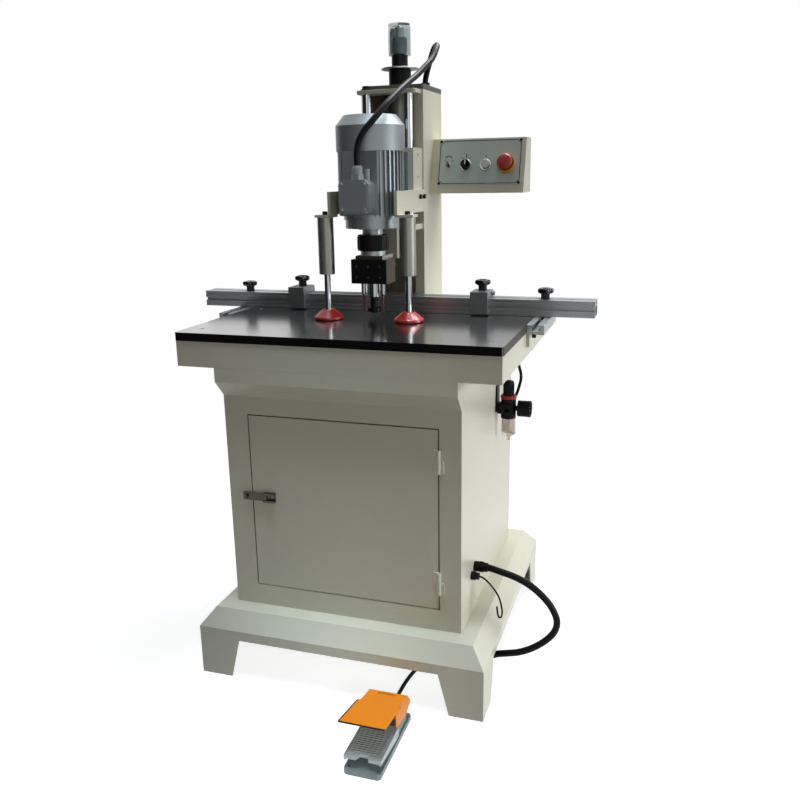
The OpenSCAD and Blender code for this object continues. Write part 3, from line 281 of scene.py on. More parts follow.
cast_grey = finish("grey_cast_aluminium", "#7E8988", "#747F7E", 12, (0.42, 0.56), 0.9, 0.08, Metallic=0.3,
                   scuff=0.2, scuff_colour="#9AA3A2")
# The treadle's cast grey is painted lighter than the base's for light on its top: painted light, with
# patches of wear.
wear_and_lit_cast = finish("wear_and_painted_light_cast_aluminium", "#AAB5B4", "#9EA9A8", 12, (0.36, 0.5), 0.9, 0.06, Metallic=0.3,
                   scuff=0.3, scuff_colour="#BCC4C3")
print("metals ready")

# %% [markdown]
# Moulded pieces have an even colour and a fine spark-eroded grain. The knobs are a glossy phenolic,
# the cords a soft vinyl, and the bowl and the cap over the depth stop are clear.

# %% Plastics and rubber
black_nylon = finish("black_nylon", "#08090A", "#0B0C0D", 20, (0.42, 0.55), 0.7, 0.03,
                     Specular_IOR_Level=0.14)
phenolic = finish("black_phenolic", "#08080A", "#0C0C0E", 20, (0.14, 0.24), 1.5, 0.01,
                  Specular_IOR_Level=0.2, Coat_Weight=0.6, Coat_IOR=1.5)
grey_nylon = finish("light_grey_nylon", "#9EA4A3", "#929897", 16, (0.38, 0.5), 0.7, 0.02)
white_abs = finish("pale_grey_abs", "#D5D6D2", "#CCCDC9", 14, (0.3, 0.4), 0.7, 0.01)
red_abs = finish("signal_red_abs", "#A81C1A", "#981816", 6, (0.34, 0.5), 0.7, 0.03)
yellow_abs = finish("signal_yellow_abs", "#C9950E", "#B8850A", 6, (0.3, 0.4), 0.7, 0.01)
white_ink = finish("white_ink", "#E9EAE8", "#DFE0DE", 8, (0.45, 0.55), 0.5, 0.005)
black_ink = finish("black_ink", "#1B1C1E", "#222326", 8, (0.45, 0.55), 0.5, 0.005)
rubber = finish("black_rubber", "#131313", "#191919", 12, (0.6, 0.75), 0.8, 0.04, Specular_IOR_Level=0.15)
vinyl = finish("black_vinyl", "#0D0E12", "#111217", 18, (0.32, 0.45), 1.2, 0.02, Specular_IOR_Level=0.12)
clear = finish("clear_polycarbonate", "#DDE3E3", "#D3DBDB", 30, (0.04, 0.09), 8.0, 0.002,
               Transmission_Weight=1.0, IOR=1.1)
smoked = finish("smoked_polycarbonate", "#DAD2CD", "#CFC7C2", 30, (0.06, 0.12), 8.0, 0.002,
                Transmission_Weight=1.0, IOR=1.1)
print("plastics ready")

# %% [markdown]
# The table is a laminate pressed on board: near black, with a fine pebble and a strong shine at low
# angles, where it mirrors the fence and the clamp feet. Its front edge has a black band. Its right edge,
# which faces the lamps, is painted brown: painted light.

# %% Laminate
laminate = finish("black_laminate", "#101214", "#15181A", 90, (0.16, 0.26), 0.9, 0.008, IOR=1.55,
                  Coat_Weight=1.0, Coat_Roughness=0.16)
black_band = finish("black_band_on_edges", "#050506", "#070708", 20, (0.5, 0.62), 1.2, 0.02,
                    Specular_IOR_Level=0.05)
# Painted light: a lighter brown on the right edge for the light that falls on it.
lit_right_edge = finish("brown_edge_painted_light", "#3F392F", "#353028", 20, (0.45, 0.6), 1.2, 0.03,
                   Specular_IOR_Level=0.2)
print("laminate ready")

# %% [markdown]
# ## Cords
#
# Five cords show: the motor's cable over the column, the conduit, the thinner lead that goes on from it
# to the pedal, a sensor lead that hangs free, and the air hose. Each is a tube carried along a smooth curve
# through its route points, which are the points of the CAD model. A tapered sleeve ends the conduit.

# %% Route and tube helpers
def smooth_route(points, steps=10):
    """A curve through all points: on each span a cubic that leaves and arrives along the line between
    the neighbours of its ends."""
    p = np.asarray(points, float)
    q = np.concatenate([p[:1], p, p[-1:]])
    a, b, c, d = (v[:, None, :] for v in (q[:-3], q[1:-2], q[2:-1], q[3:]))
    t = (np.arange(steps) / steps)[None, :, None]
    out = 0.5 * (2 * b + (c - a) * t + (2 * a - 5 * b + 4 * c - d) * t ** 2
                 + (3 * b - a - 3 * c + d) * t ** 3)
    return np.concatenate([out.reshape(-1, 3), p[-1:]])


OFF_AXIS = (0.3, 0.5, 0.81)


def tube(path, radius, sides=20):
    """A circle carried along a path. Its first side turns from ring to ring by the smallest angle, so
    the tube doesn't twist. Both ends close to a point."""
    way = np.gradient(path, axis=0)
    way /= np.linalg.norm(way, axis=1, keepdims=True)
    u, us = np.cross(way[0], OFF_AXIS), []
    for w in way:
        u = u - w * (u @ w)
        u = u / np.linalg.norm(u)
        us.append(u)
    us = np.array(us)
    vs = np.cross(way, us)
    a = np.linspace(0, 2 * np.pi, sides, endpoint=False)[None, :, None]
    r = np.broadcast_to(np.asarray(radius, float), (len(path),))[:, None, None]
    rings = path[:, None] + r * (np.cos(a) * us[:, None] + np.sin(a) * vs[:, None])
    ends = [np.repeat(path[i][None, None], sides, 1) for i in (0, -1)]
    return np.concatenate([ends[0], rings, ends[1]])


def cord(name, node, route, radius, coat, start=None, end=None, other=None):
    """Makes a cord through route points in mm, between straight ends where these are given, and puts it in
    place of its CAD node. With other, it is left in world space and attached to no body."""
    path = smooth_route(route)
    path = np.concatenate([path[:0] if start is None else [start], path,
                           path[:0] if end is None else [end]])
    ob = piece(name, [tube(path, radius)], coat, None, sharp=60)
    if other:
        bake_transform(ob)
    else:
        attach(ob, "stand")
    if node:
        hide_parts(node)


# %% The five routes, in mm
TY = -210.5
cord("motor_cable_sheath", "motor_cable",
     [(4, TY + 205, 1271), (4, TY + 204, 1296), (9, TY + 204, 1320), (23, TY + 204, 1345),
      (44, TY + 210, 1369), (64, TY + 238, 1401), (76, TY + 285, 1430), (85, TY + 340, 1457),
      (97, TY + 395, 1483), (107, TY + 435, 1507), (114, TY + 470, 1528), (116, TY + 500, 1553),
      (112, TY + 522, 1566), (98, TY + 541, 1559), (79, TY + 560, 1522), (69, TY + 570, 1499),
      (66, TY + 572, 1486)], 7.5, vinyl,
     (4, TY + 205, 1268), (66, TY + 572, 1482), other="head")
junction = (265, TY + 163, 12)
taper = turned([(0, -14), (8.6, -14), (9.6, -12), (9.6, 2), (8.4, 6), (6.2, 24), (5.2, 26), (0, 26)], 32)
conduit_end = piece("conduit_end", placed([taper], junction, (-40, -1, -3)), black_nylon, "stand")
cord("pedal_conduit_tube", "pedal_conduit",
     [(338, TY + 176, 290), (369, TY + 172, 285), (410, TY + 168, 276), (448, TY + 166, 258),
      (481, TY + 164, 231), (501, TY + 163, 205), (512, TY + 162, 175), (506, TY + 161, 146),
      (484, TY + 160, 118), (453, TY + 160, 93), (420, TY + 160, 76), (388, TY + 160, 67),
      (362, TY + 160, 60), (335, TY + 159, 46), (300, TY + 160, 24), junction],
     8.5, vinyl, (334, TY + 176, 290))
cord("pedal_lead", None,
     [junction, (225, TY + 162, 9), (187, TY + 149, 7), (164, TY + 124, 6), (156, TY + 90, 6),
      (152, TY + 50, 6), (151, TY + 10, 6), (154, TY - 28, 13), (160, TY - 60, 25),
      (164.5, -304.5, 32)], 5.0, vinyl, end=(164.5, -308.5, 32))
lead_y, hose_y = TY + 143, 259.5
cord("sensor_lead_sheath", "sensor_lead",
     [(322, lead_y, 280), (332, lead_y, 276), (345, lead_y, 265), (357, lead_y, 251),
      (366, lead_y, 238), (373, lead_y, 222), (377, lead_y, 205), (379, lead_y - 1, 190),
      (377, lead_y - 2, 178), (371, lead_y - 3, 178), (368, lead_y - 4, 190), (366, lead_y - 4, 206)],
     2.2, vinyl, (320, lead_y, 280))
cord("air_hose_tube", "air_hose",
     [(332, 246.5, 637), (334, 256.5, 643), (345, hose_y, 664), (353, hose_y, 690), (357, hose_y, 710),
      (356, hose_y, 727), (351, hose_y, 746), (346, hose_y, 775), (344, hose_y, 810), (344, hose_y, 861)],
     4.0, vinyl, (332, 243.5, 637), (344, hose_y, 866))

# %% [markdown]
# ## Eased edges and split finishes
#
# Folded sheet, castings and extrusions never end in a knife edge. Each solid is copied, its doubled
# points are merged, and a small bevel rounds every edge sharper than 35 degrees, so that edges catch
# the light. Where one solid carries two finishes, such as a painted door with the zinc ears of its
# catch, the faces are told apart by where they lie.

# %% Eased copies of the solids
EASE_DEG, EASE_SEGMENTS, FLAT_DEG, SOLID_WELD_M = 35, 2, 0.3, 2e-6


def eased(node, width, finishes, split=None, rim=-1):
    """A copy of a CAD node with its edges rounded by width mm. split(centres) gives the finish number of
    each face from the face centres in mm, and rim the finish number of the rounded edges."""
    mesh = nodes[node].data.copy()
    mesh.materials.clear()
    if "custom_normal" in mesh.attributes:
        mesh.attributes.remove(mesh.attributes["custom_normal"])
    bm = bmesh.new()
    bm.from_mesh(mesh)
    bmesh.ops.remove_doubles(bm, verts=bm.verts, dist=SOLID_WELD_M)
    bmesh.ops.dissolve_limit(bm, angle_limit=math.radians(FLAT_DEG), verts=bm.verts, edges=bm.edges)
    bm.to_mesh(mesh)
    bm.free()
    ob = dress(node + "_eased", mesh, finishes, body_of_node[node],
               sharp=EASE_DEG)
    if split:
        centre = np.empty(3 * len(mesh.polygons), np.float32)
        mesh.polygons.foreach_get("center", centre)
        mesh.polygons.foreach_set("material_index", split(centre.reshape(-1, 3) / MM).astype(np.int32))
    if width:
        round_over = ob.modifiers.new("eased", "BEVEL")
        round_over.width = width * MM
        round_over.segments = EASE_SEGMENTS
        round_over.limit_method = "ANGLE"
        round_over.angle_limit = math.radians(EASE_DEG)
        round_over.harden_normals = True
        round_over.material = rim
        round_over.miter_outer = "MITER_ARC"
    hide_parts(node)


CAB_Y, STAPLE_X, STAPLE_Z = -171.5, -250.0, 476.0
for node, width in (("plinth", 2.5), ("apron", 1.8), ("column", 1.6), ("control_box", 1.5),
                    ("carriage", 1.2)):
    eased(node, width, [ivory_enamel])
eased("door", 2.0, [ivory_enamel, zinc], lambda c: (c[:, 1] < CAB_Y - 0.2) & (c[:, 0] < 0))
eased("cabinet", 1.6, [ivory_enamel, zinc], lambda c: (c[:, 1] < CAB_Y - 0.2)
      & (np.abs(c[:, 0] - STAPLE_X) < 4) & (np.abs(c[:, 2] - STAPLE_Z) < 8))
for node, width, coat in (
        ("fence", 0.4, anodised), ("fence_rails", 0.6, anodised), ("stop_left", 0.8, sawn_alu),
        ("stop_right", 0.8, sawn_alu), ("feed_cylinder", 0.8, turned_alu),
        ("feed_rod", 0.8, steel), ("motor_frame", 0.5, silver_enamel), ("fan_cover", 1.2, cover_enamel),
        ("motor_shaft", 0, steel), ("coupling", 1.0, black_nylon), ("gear_cover", 0.5, black_oxide),
        ("centre_chuck", 0.8, hard_chrome), ("cup_bit", 0.3, black_oxide),
        ("left_spindle", 0.5, hard_chrome), ("right_spindle", 0.5, hard_chrome),
        ("left_bit", 0.2, red_lacquer), ("right_bit", 0.2, red_lacquer),
        ("clamp_rod_left", 0.6, hard_chrome), ("clamp_rod_right", 0.6, hard_chrome),
        ("clamp_foot_left", 1.0, red_enamel), ("clamp_foot_right", 1.0, red_enamel),
        ("control_panel", 0.3, panel_enamel), ("toggle", 0.8, zinc), ("selector_knob", 1.0, black_nylon),
        ("push_button", 0.8, white_abs), ("estop_head", 0.8, red_abs), ("frl_body", 1.6, black_nylon),
        ("frl_bowl", 0.6, smoked), ("gauge_case", 0.8, black_nylon), ("glands", 0.8, black_nylon),
        ("pedal_base", 1.5, cast_grey), ("treadle", 0, wear_and_lit_cast), ("pedal_guard", 0.7, orange_enamel),
        ("hasp", 0.5, zinc), ("stop_cap", 0.8, clear)):
    eased(node, width, [coat])

LID_Z, DISC_Z, BAR_TOP, GEAR_TOP, TERM_TOP, CYL_TOP = 1472.0, 1516.0, 1457.0, 1041.0, 1236.0, 1146.0
YELLOW_X, ARM_X, ARM_BOLT_Z, SLAB_X = 262.0, 90.0, 1190.0, 400.0
eased("guide_rods", 0.4, [hard_chrome, black_oxide], lambda c: c[:, 2] > BAR_TOP + 0.1)
eased("column_lid", 1.0, [dark_enamel, black_nylon, steel],
      lambda c: 1 * (c[:, 2] > LID_Z + 0.5) + (c[:, 2] > DISC_Z - 0.2))
eased("switch_collars", 0.8, [hard_chrome, yellow_abs], lambda c: c[:, 0] > YELLOW_X)
eased("gear_case", 0.8, [bronze, milled_alu], lambda c: c[:, 2] > GEAR_TOP - 0.5)
eased("terminal_box", 2.0, [silver_enamel, grey_nylon], lambda c: c[:, 2] > TERM_TOP + 0.5)
eased("clamp_cylinders", 0.8, [turned_alu, black_oxide], lambda c: c[:, 2] > CYL_TOP + 6)
eased("clamp_arms", 1.0, [ivory_enamel, black_oxide],
      lambda c: (np.abs(c[:, 0]) > ARM_X + 0.2) & (c[:, 2] > ARM_BOLT_Z - 20))
eased("table_top", 0.6, [laminate, lit_right_edge, black_band],
      lambda c: np.where(c[:, 0] > SLAB_X - 1, 1, np.where(c[:, 1] < TY + 0.5, 2, 0)), rim=2)

# %% [markdown]
# ## Clamp knobs
#
# The fence and the stops are held by moulded hand knobs on threaded bolts: a waisted hub, a lobed grip
# and a dished top.

# %% Lobed knobs
LOBES, LOBE_CUT, PITCH, PITCH_STEP = 5, 0.11, 1.25, 0.6


def lobed_knob(z, bolt, nut):
    """A turned profile whose radius swells in five lobes on the grip, on a bolt with its nut."""
    grip = [(0, z + 24.4), (8.2, z + 24.8), (9.4, z + 26.6), (15, z + 27), (19, z + 26.2), (21, z + 24),
            (21.4, z + 20), (20.4, z + 16.4), (17, z + 14), (12.6, z + 12.6), (11.2, z + 10),
            (11.3, z + 1.5), (10.5, z), (0, z)]
    weight = np.array([0, 0, 0, .3, .7, 1, 1, 1, .5, .1, 0, 0, 0, 0])
    body = turned(grip, 80, lambda a, i: 1 - weight[i] * LOBE_CUT * (1 - np.cos(LOBES * a)))
    rows = np.arange(z - bolt, z + 1, PITCH_STEP)
    thread = turned([(0, rows[0]), *[(3.75 + 0.25 * math.cos(2 * math.pi * r / PITCH), r) for r in rows],
                     (0, rows[-1])], 16)
    plate = turned([(0, nut[1]), (nut[0], nut[1]), (nut[0], nut[2]), (0, nut[2])], 24)
    return [body, thread, plate]


BOLT_Y, FENCE_TOP, RAIL_X, STOP_X = 226.5, 932.5, 421, 257
for side, sign in (("left", -1), ("right", 1)):
    for name, x, grids, body in (
            ("fence_knob_" + side, sign * RAIL_X, lobed_knob(FENCE_TOP + 0.4, 55.5, (8.5, 877.5, 884.5)),
             "fence_lock_" + side),
            ("stop_knob_" + side, sign * STOP_X, lobed_knob(FENCE_TOP + 18.8, 25, (6.5, 922.5, 928.5)),
             "stop_lock_" + side)):
        knob = piece(name + "_moulded", placed(grids, (x, BOLT_Y, 0)), phenolic, body)
        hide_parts(name)
print("knobs made")

# %% [markdown]
# ## Depth stop
#
# The threaded rod carries a black sleeve and, under the clear cap, a knurled steel nut with a bright neck.
# The nut is turned by hand to set how deep the bits go.

# %% Sleeve and knurled nut
FEED_Y, STOP_Z, BORE_R = 346.5, 1520.0, 8.4
KNURLS, KNURL_DEPTH = 60, 0.012
knurl = lambda a, i: 1 + KNURL_DEPTH * np.cos(KNURLS * a) * ((i > 3) & (i < 22))
sleeve = turned([(BORE_R, STOP_Z + 0.5), (20.5, STOP_Z + 0.5), (21.5, STOP_Z + 1.5), (21.5, STOP_Z + 33),
                 (20.5, STOP_Z + 34.2), (BORE_R, STOP_Z + 34.2), (BORE_R, STOP_Z + 0.5)], 64)
rows = np.linspace(STOP_Z + 36, STOP_Z + 73, 20)
nut = turned([(BORE_R, STOP_Z + 34), (19.2, STOP_Z + 34), (19.7, STOP_Z + 35), *[(19.7, r) for r in rows],
              (19, STOP_Z + 75), (BORE_R, STOP_Z + 75), (BORE_R, STOP_Z + 34)], 180, knurl)
neck = turned([(BORE_R, STOP_Z + 74.8), (12.4, STOP_Z + 74.8), (12.4, STOP_Z + 99.8),
               (11.6, STOP_Z + 100.8), (BORE_R, STOP_Z + 101), (BORE_R, STOP_Z + 74.8)], 64)
stop_sleeve = piece("depth_sleeve", placed([sleeve], (0, FEED_Y, 0)), black_oxide, "depth_stop")
piece("depth_nut_knurled", placed([nut], (0, FEED_Y, 0)), blued_steel, "depth_stop")
piece("depth_nut_neck", placed([neck], (0, FEED_Y, 0)), milled_alu, "depth_stop")
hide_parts("depth_nut")
print("depth stop made")

# %% [markdown]
# ## Screws
#
# Socket screws hold the head together and pan-head screws hold the panels. A screw is a turned profile;
# its socket is the same turning with the radius pulled in to a hexagon.

# %% Screw shapes
SINK = 0.3


def hexagon(a):
    """Radius of a hexagon with corners at 1, against the angle."""
    return math.cos(math.pi / 6) / np.cos(np.mod(a, math.pi / 3) - math.pi / 6)


def cap_screw(r, h):
    """A cylinder head with a rounded rim and a hexagon socket half its radius deep."""
    p = [(0, 0), (r, 0), (r, 0.85 * h), (0.9 * r, h), (0.66 * r, h), (0.58 * r, 0.94 * h),
         (0.58 * r, 0.45 * h), (0, 0.4 * h)]
    return [turned(p, 24, lambda a, i: np.where((i == 5) | (i == 6), hexagon(a), 1.0))]


def hex_bolt(r, h):
    """A hexagon head with a chamfered top on a round washer."""
    head = turned([(0, 1.5), (r, 1.5), (r, 1.4 + 0.8 * h), (0.86 * r, 1.5 + h), (0, 1.5 + h)], 24,
                  lambda a, i: np.where((i > 0) & (i < 3), hexagon(a), 1.0))
    return [head, turned([(0, 0), (1.25 * r, 0), (1.25 * r, 1.5), (0, 1.5)], 32)]


def pan_screw(r):
    """A low dome with a cross cut into it: the height over a polar grid drops where either coordinate is
    near the axis of the cross. Its base is sunk a little below the face it sits on."""
    p = np.linspace(0, 1, 9)
    a = np.linspace(0, 2 * np.pi, 48, endpoint=False)
    x, y = r * p[:, None] * np.cos(a), r * p[:, None] * np.sin(a)
    dome = 0.55 * r * np.sqrt(np.clip(1 - 0.75 * p[:, None] ** 2, 0, 1)) + 0 * x
    slot = (np.minimum(np.abs(x), np.abs(y)) < 0.13 * r) & (np.hypot(x, y) < 0.62 * r)
    top = np.stack([x, y, dome - 0.3 * r * slot], -1)
    base = [np.stack([k * x[-1:], k * y[-1:], 0 * x[-1:] - SINK], -1) for k in (1, 0)]
    return [np.concatenate([top, *base])]


def screws(name, shape, spots, coat, body):
    """All the screws of one kind on one body, as one piece. A spot is a point and a normal."""
    piece(name, [g for at, normal in spots for g in placed(shape, at, normal)], coat, body,
          sharp=40)


# %% Screws of the head
TO_FRONT, TO_TOP = (0, -1, 0), (0, 0, 1)
GEAR_FRONT, TERM_FRONT, FOOT_FRONT, CLAMP_X, CLAMP_Y = 64.9, -28.4, 161.5, 108, 53.5
screws("gear_cover_screws", cap_screw(3.1, 3.4),
       [((x, GEAR_FRONT, z), TO_FRONT) for x in (-31, 0, 31) for z in (997, 1024)], zinc, "head")
screws("terminal_box_screws", pan_screw(3.6),
       [((x, TERM_FRONT, z), TO_FRONT) for x in (-29, 29) for z in (1167, 1227)], silver_enamel, "head")
screws("motor_foot_bolts", hex_bolt(7.5, 5.5),
       [((x, FOOT_FRONT, z), TO_FRONT) for x in (-70, 70) for z in (1177, 1277)], steel, "head")
screws("arm_bolt_sockets", cap_screw(6.0, 6.3),
       [((s * ARM_X, y, ARM_BOLT_Z), (s, 0, 0)) for s in (-1, 1) for y in (218.5, 252.5)], black_oxide,
       "head")
screws("cylinder_bolt_sockets", cap_screw(6.5, 8.3),
       [((s * CLAMP_X, CLAMP_Y, CYL_TOP + 6.1), TO_TOP) for s in (-1, 1)], black_oxide, "head")
print("head screws made")

# %% Screws of the stand
TABLE_SCREW_Z = 887.2
screws("table_screws", pan_screw(4.6),
       [((x, TY + y, TABLE_SCREW_Z), TO_TOP) for x in (-360, 360) for y in (60, 380)], steel, "stand")
print("table screws made")

# %% [markdown]
# ## Control panel
#
# The panel is a printed plate on the box's tilted front: a dark outline with cut corners, a screw in each
# corner, an arc over the toggle and position marks over the selector and the button. A pointer line marks
# the knob.

# %% Panel print
TILT = math.radians(16.4)
BOX_X, BOX_Y, BOX_Z, ROW_S = 85.0, 329.5, 1195.0, 75.0
ROW_X = [BOX_X + d for d in (47.5, 96, 150, 206)]
OUT = np.array([0, -math.cos(TILT), math.sin(TILT)])
UP = np.array([0, math.sin(TILT), math.cos(TILT)])


def on_panel(x, s, h):
    """Points at x along the box, s up its tilted front and h off it."""
    x, s, h = np.broadcast_arrays(*(np.asarray(v, float) for v in (x, s, h)))
    base = np.array([0, BOX_Y, BOX_Z])
    return base + x[..., None] * np.array([1.0, 0, 0]) + s[..., None] * UP + h[..., None] * OUT


def stripe(line, width, low, high, closed=False):
    """A flat band of print along a line of (x, s) points: each point is moved half the width to either
    side of the line, at two heights."""
    p = np.asarray(line, float)
    d = (np.roll(p, -1, 0) - np.roll(p, 1, 0)) if closed else np.gradient(p, axis=0)
    d /= np.linalg.norm(d, axis=1, keepdims=True)
    off = np.stack([-d[:, 1], d[:, 0]], 1) * width / 2
    ring = [(p - off, low), (p - off, high), (p + off, high), (p + off, low)]
    g = np.stack([on_panel(q[:, 0], q[:, 1], h) for q, h in ring], 1)
    if closed:
        return np.concatenate([g, g[:1]])
    return capped(g)


def arc(x, s, r, a0, a1, n=24):
    """Points on a circle round (x, s), angles in degrees from the right."""
    a = np.radians(np.linspace(a0, a1, n))
    return np.stack([x + r * np.cos(a), s + r * np.sin(a)], 1)


PANEL_H, INSET, CUT, LINE_W, KNOB_TOP = 1.5, 4.0, 10.0, 2.2, 16.5
PLATE_X0, PLATE_X1, PLATE_S0, PLATE_S1 = BOX_X + 19, BOX_X + 246, 22, 142 / math.cos(TILT) - 3
x0, x1, s0, s1 = PLATE_X0 + INSET, PLATE_X1 - INSET, PLATE_S0 + INSET, PLATE_S1 - INSET
corners = np.array([(x0 + CUT, s0), (x1 - CUT, s0), (x1, s0 + CUT), (x1, s1 - CUT), (x1 - CUT, s1),
                    (x0 + CUT, s1), (x0, s1 - CUT), (x0, s0 + CUT)])
low, high = PANEL_H - 0.1, PANEL_H + 0.12
lines = [(arc(ROW_X[0], ROW_S + 16, 10, 25, 155), 2.6)]
for k, s, turn, r0, r1 in ((0, 16, -15, 8, 12), (0, 16, 195, 8, 12), (1, 0, 90, 19, 31),
                           (1, 0, 62, 20, 25), (1, 0, 118, 20, 25), (2, 0, 90, 20, 26)):
    ends = [arc(ROW_X[k], ROW_S + s, r, turn, turn, 1)[0] for r in np.linspace(r0, r1, 3)]
    lines.append((np.stack(ends), LINE_W))
marks = [stripe(corners, LINE_W, low, high, True), *(stripe(p, w, low, high) for p, w in lines)]
piece("panel_print", marks, black_ink, "stand", smooth=False)
spots = [(on_panel(x, s, PANEL_H), OUT) for x in (x0 + 1, x1 - 1) for s in (s0 + 1, s1 - 1)]
screws("panel_screws", pan_screw(3.8), spots, black_oxide, "stand")
pointer = stripe([(ROW_X[1], ROW_S + d) for d in (-1, 5, 10.5)], 3.0, KNOB_TOP - 0.1, KNOB_TOP + 0.3)
piece("selector_pointer", [pointer], white_ink, "selector", smooth=False)
print("panel printed")

# %% [markdown]
# ## Air regulator
#
# The filter regulator has a ribbed knob over a red lock ring, a clear bowl and a gauge that looks to the
# right. The dial has plain numbers and a pointer under a lens.

# %% Regulator knob and ring
FRL_X, FRL_Y, FRL_Z = 332.0, 219.5, 611.0
RIBS, RIB_DEPTH = 36, 0.03
z = FRL_Z + 53
ribs = lambda a, i: 1 + RIB_DEPTH * np.cos(RIBS * a) * ((i > 1) & (i < 6))
knob = turned([(0, z + 10), (14.4, z + 10), (14.4, z + 12), (14.4, z + 20), (14.4, z + 30), (14.4, z + 40),
               (13.6, z + 45), (12.4, z + 47.4), (10, z + 48), (0, z + 47)], 144, ribs)
stem = turned([(0, z - 14), (6, z - 14), (6, z + 1), (0, z + 1)], 24)
ring = turned([(0, z + 0.4), (20, z + 0.4), (21, z + 1.6), (21, z + 8.6), (19.6, z + 10), (0, z + 10)], 64)
regulator = piece("regulator_knob", placed([knob, stem], (FRL_X, FRL_Y, 0)), black_nylon, "regulator")
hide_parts("frl_knob")
piece("regulator_ring", placed([ring], (FRL_X, FRL_Y, 0)), red_abs, "regulator")
print("regulator knob made")

# %% Gauge dial
FACE_X, GAUGE_Z = FRL_X + 26 + 28.3, FRL_Z + 27
DIAL_START, TICK_DEG, TICKS, TICKS_PER_NUMBER = 225, 9, 31, 6
TICK_R, TICK_HALF, NUMBER_R, NUMBER_MM, HAND_DEG = 15.6, 0.28, 9.4, 4.6, 140
CENTRE, TO_RIGHT = (FACE_X, FRL_Y, GAUGE_Z), (1, 0, 0)


def on_dial(u, v, h):
    """Points u to the right and v up on the dial, which looks along +X, and h off it."""
    return np.stack([FACE_X + h, FRL_Y + u, GAUGE_Z + v], -1)


def dial_mark(quad, low, high):
    """A four-cornered mark on the dial between two heights."""
    return capped(np.stack([on_dial(quad[:, 0], quad[:, 1], np.full(4, h)) for h in (low, high)]))


disc = turned([(0, 0.6), (18.8, 0.6), (18.8, -0.2), (0, -0.2)], 64)
piece("gauge_dial", placed([disc], CENTRE, TO_RIGHT), white_ink, "stand")
rim = turned([(18.2, 3.4), (19.2, 5.4), (20.8, 5.9), (21.9, 5.0), (22.0, 0.5), (21.6, -3.5), (20.9, -3.5),
              (18.2, 3.4)], 64)
piece("gauge_rim", placed([rim], CENTRE, TO_RIGHT), black_nylon, "stand")
ticks = []
for k in range(TICKS):
    a = math.radians(DIAL_START - TICK_DEG * k)
    d, r0 = np.array([math.cos(a), math.sin(a)]), (12.4 if k % TICKS_PER_NUMBER == 0 else 13.8)
    n = np.array([-d[1], d[0]]) * TICK_HALF
    ticks.append(dial_mark(np.stack([r0 * d - n, TICK_R * d - n, TICK_R * d + n, r0 * d + n]), 0.5, 0.75))
piece("gauge_ticks", ticks, black_ink, "stand", smooth=False)
needle = np.array([(-4, -0.9), (-4, 0.9), (13, 0.25), (13, -0.25)])
c, s = math.cos(math.radians(HAND_DEG)), math.sin(math.radians(HAND_DEG))
hand = dial_mark(needle @ np.array([[c, s], [-s, c]]), 0.9, 1.3)
hub = placed([turned([(0, 0.8), (2.4, 0.8), (2.4, 1.8), (0, 2.0)], 24)], CENTRE, TO_RIGHT)
piece("gauge_hand", [hand, *hub], black_ink, "stand", smooth=False)
for k, label in enumerate(("0", "2", "4", "6", "8", "10")):
    a = math.radians(DIAL_START - TICKS_PER_NUMBER * TICK_DEG * k)
    text = bpy.data.curves.new("dial_number_" + label, "FONT")
    text.body, text.size, text.align_x, text.align_y = label, NUMBER_MM * MM, "CENTER", "CENTER"
    text.extrude = 0.2 * MM
    flat = bpy.data.objects.new("flat", text)
    mesh = bpy.data.meshes.new_from_object(flat)
    at = on_dial(NUMBER_R * math.cos(a), NUMBER_R * math.sin(a), 0.75) * MM
    mesh.transform(Matrix(((0, 0, 1, at[0]), (1, 0, 0, at[1]), (0, 1, 0, at[2]), (0, 0, 0, 1))))
    bpy.data.objects.remove(flat)
    dress("dial_number_" + label, mesh, [black_ink], "stand", smooth=False)
print("gauge made")

# %% [markdown]
# ## Pads, dark edges and painted hole shade
#
# A thin rubber pad under each clamp foot keeps it from marking the board and paints the shadow line
# under it. A dark tube makes the left and the front edge of the pedal's guard dark, and a black block
# under each rail is painted shade for the bracket's hole. The door's catch has a plate between its ears,
# held by a screw.

# %% Pads, dark edges, painted hole shade and catch plate
def block(low, high):
    """A closed box between two corners, as rings of its front and its back face with their middles."""
    (x0, y0, z0), (x1, y1, z1) = low, high
    return capped(np.array([[(x0, y, z0), (x1, y, z0), (x1, y, z1), (x0, y, z1)] for y in (y0, y1)], float))


HOLE_SHADE_X, HOLE_SHADE_HALF, PEDAL_X, CATCH_Y = 416.5, 4.5, 164.5, -175
for side, sign in (("left", -1), ("right", 1)):
    # The rubber pad also paints the dark line of shadow between the foot and the board.
    cushion_and_shade = turned([(0, 890.4), (34.5, 890.4), (35.6, 890.8), (35.6, 891.5), (0, 891.5)], 64)
    piece("clamp_cushion_and_shade_" + side, placed([cushion_and_shade], (sign * CLAMP_X, CLAMP_Y, 0)), rubber, "clamp_" + side)
    # A black block where the bracket's hole is: painted shade for the hole's dark inside.
    hole_shade = block((sign * HOLE_SHADE_X - HOLE_SHADE_HALF, 82.6, 857), (sign * HOLE_SHADE_X + HOLE_SHADE_HALF, 92, 865))
    piece("bracket_hole_shade_" + side, [hole_shade], black_nylon, "stand", smooth=False)
# A dark tube along the guard's left and front edges makes these edges dark.
edge = np.array([(-52.3, -386, 99.4), (-53, -494, 120.6), (-53, -497.8, 120.8), (-48, -497.8, 120.6),
                 (52, -497.8, 120.6)]) + (PEDAL_X, 0, 0)
piece("guard_dark_edge", [tube(edge, 1.8, 12)], rubber, "stand")
piece("catch_plate", [block((-193, CATCH_Y, 468.5), (-175, CAB_Y + 0.2, 483.5))], zinc, "door",
      smooth=False)
screws("catch_screw", pan_screw(2.6), [((-184, CATCH_Y, STAPLE_Z), TO_FRONT)], steel, "door")
print("pads, hole_shades, dark_edge and catch plate made")

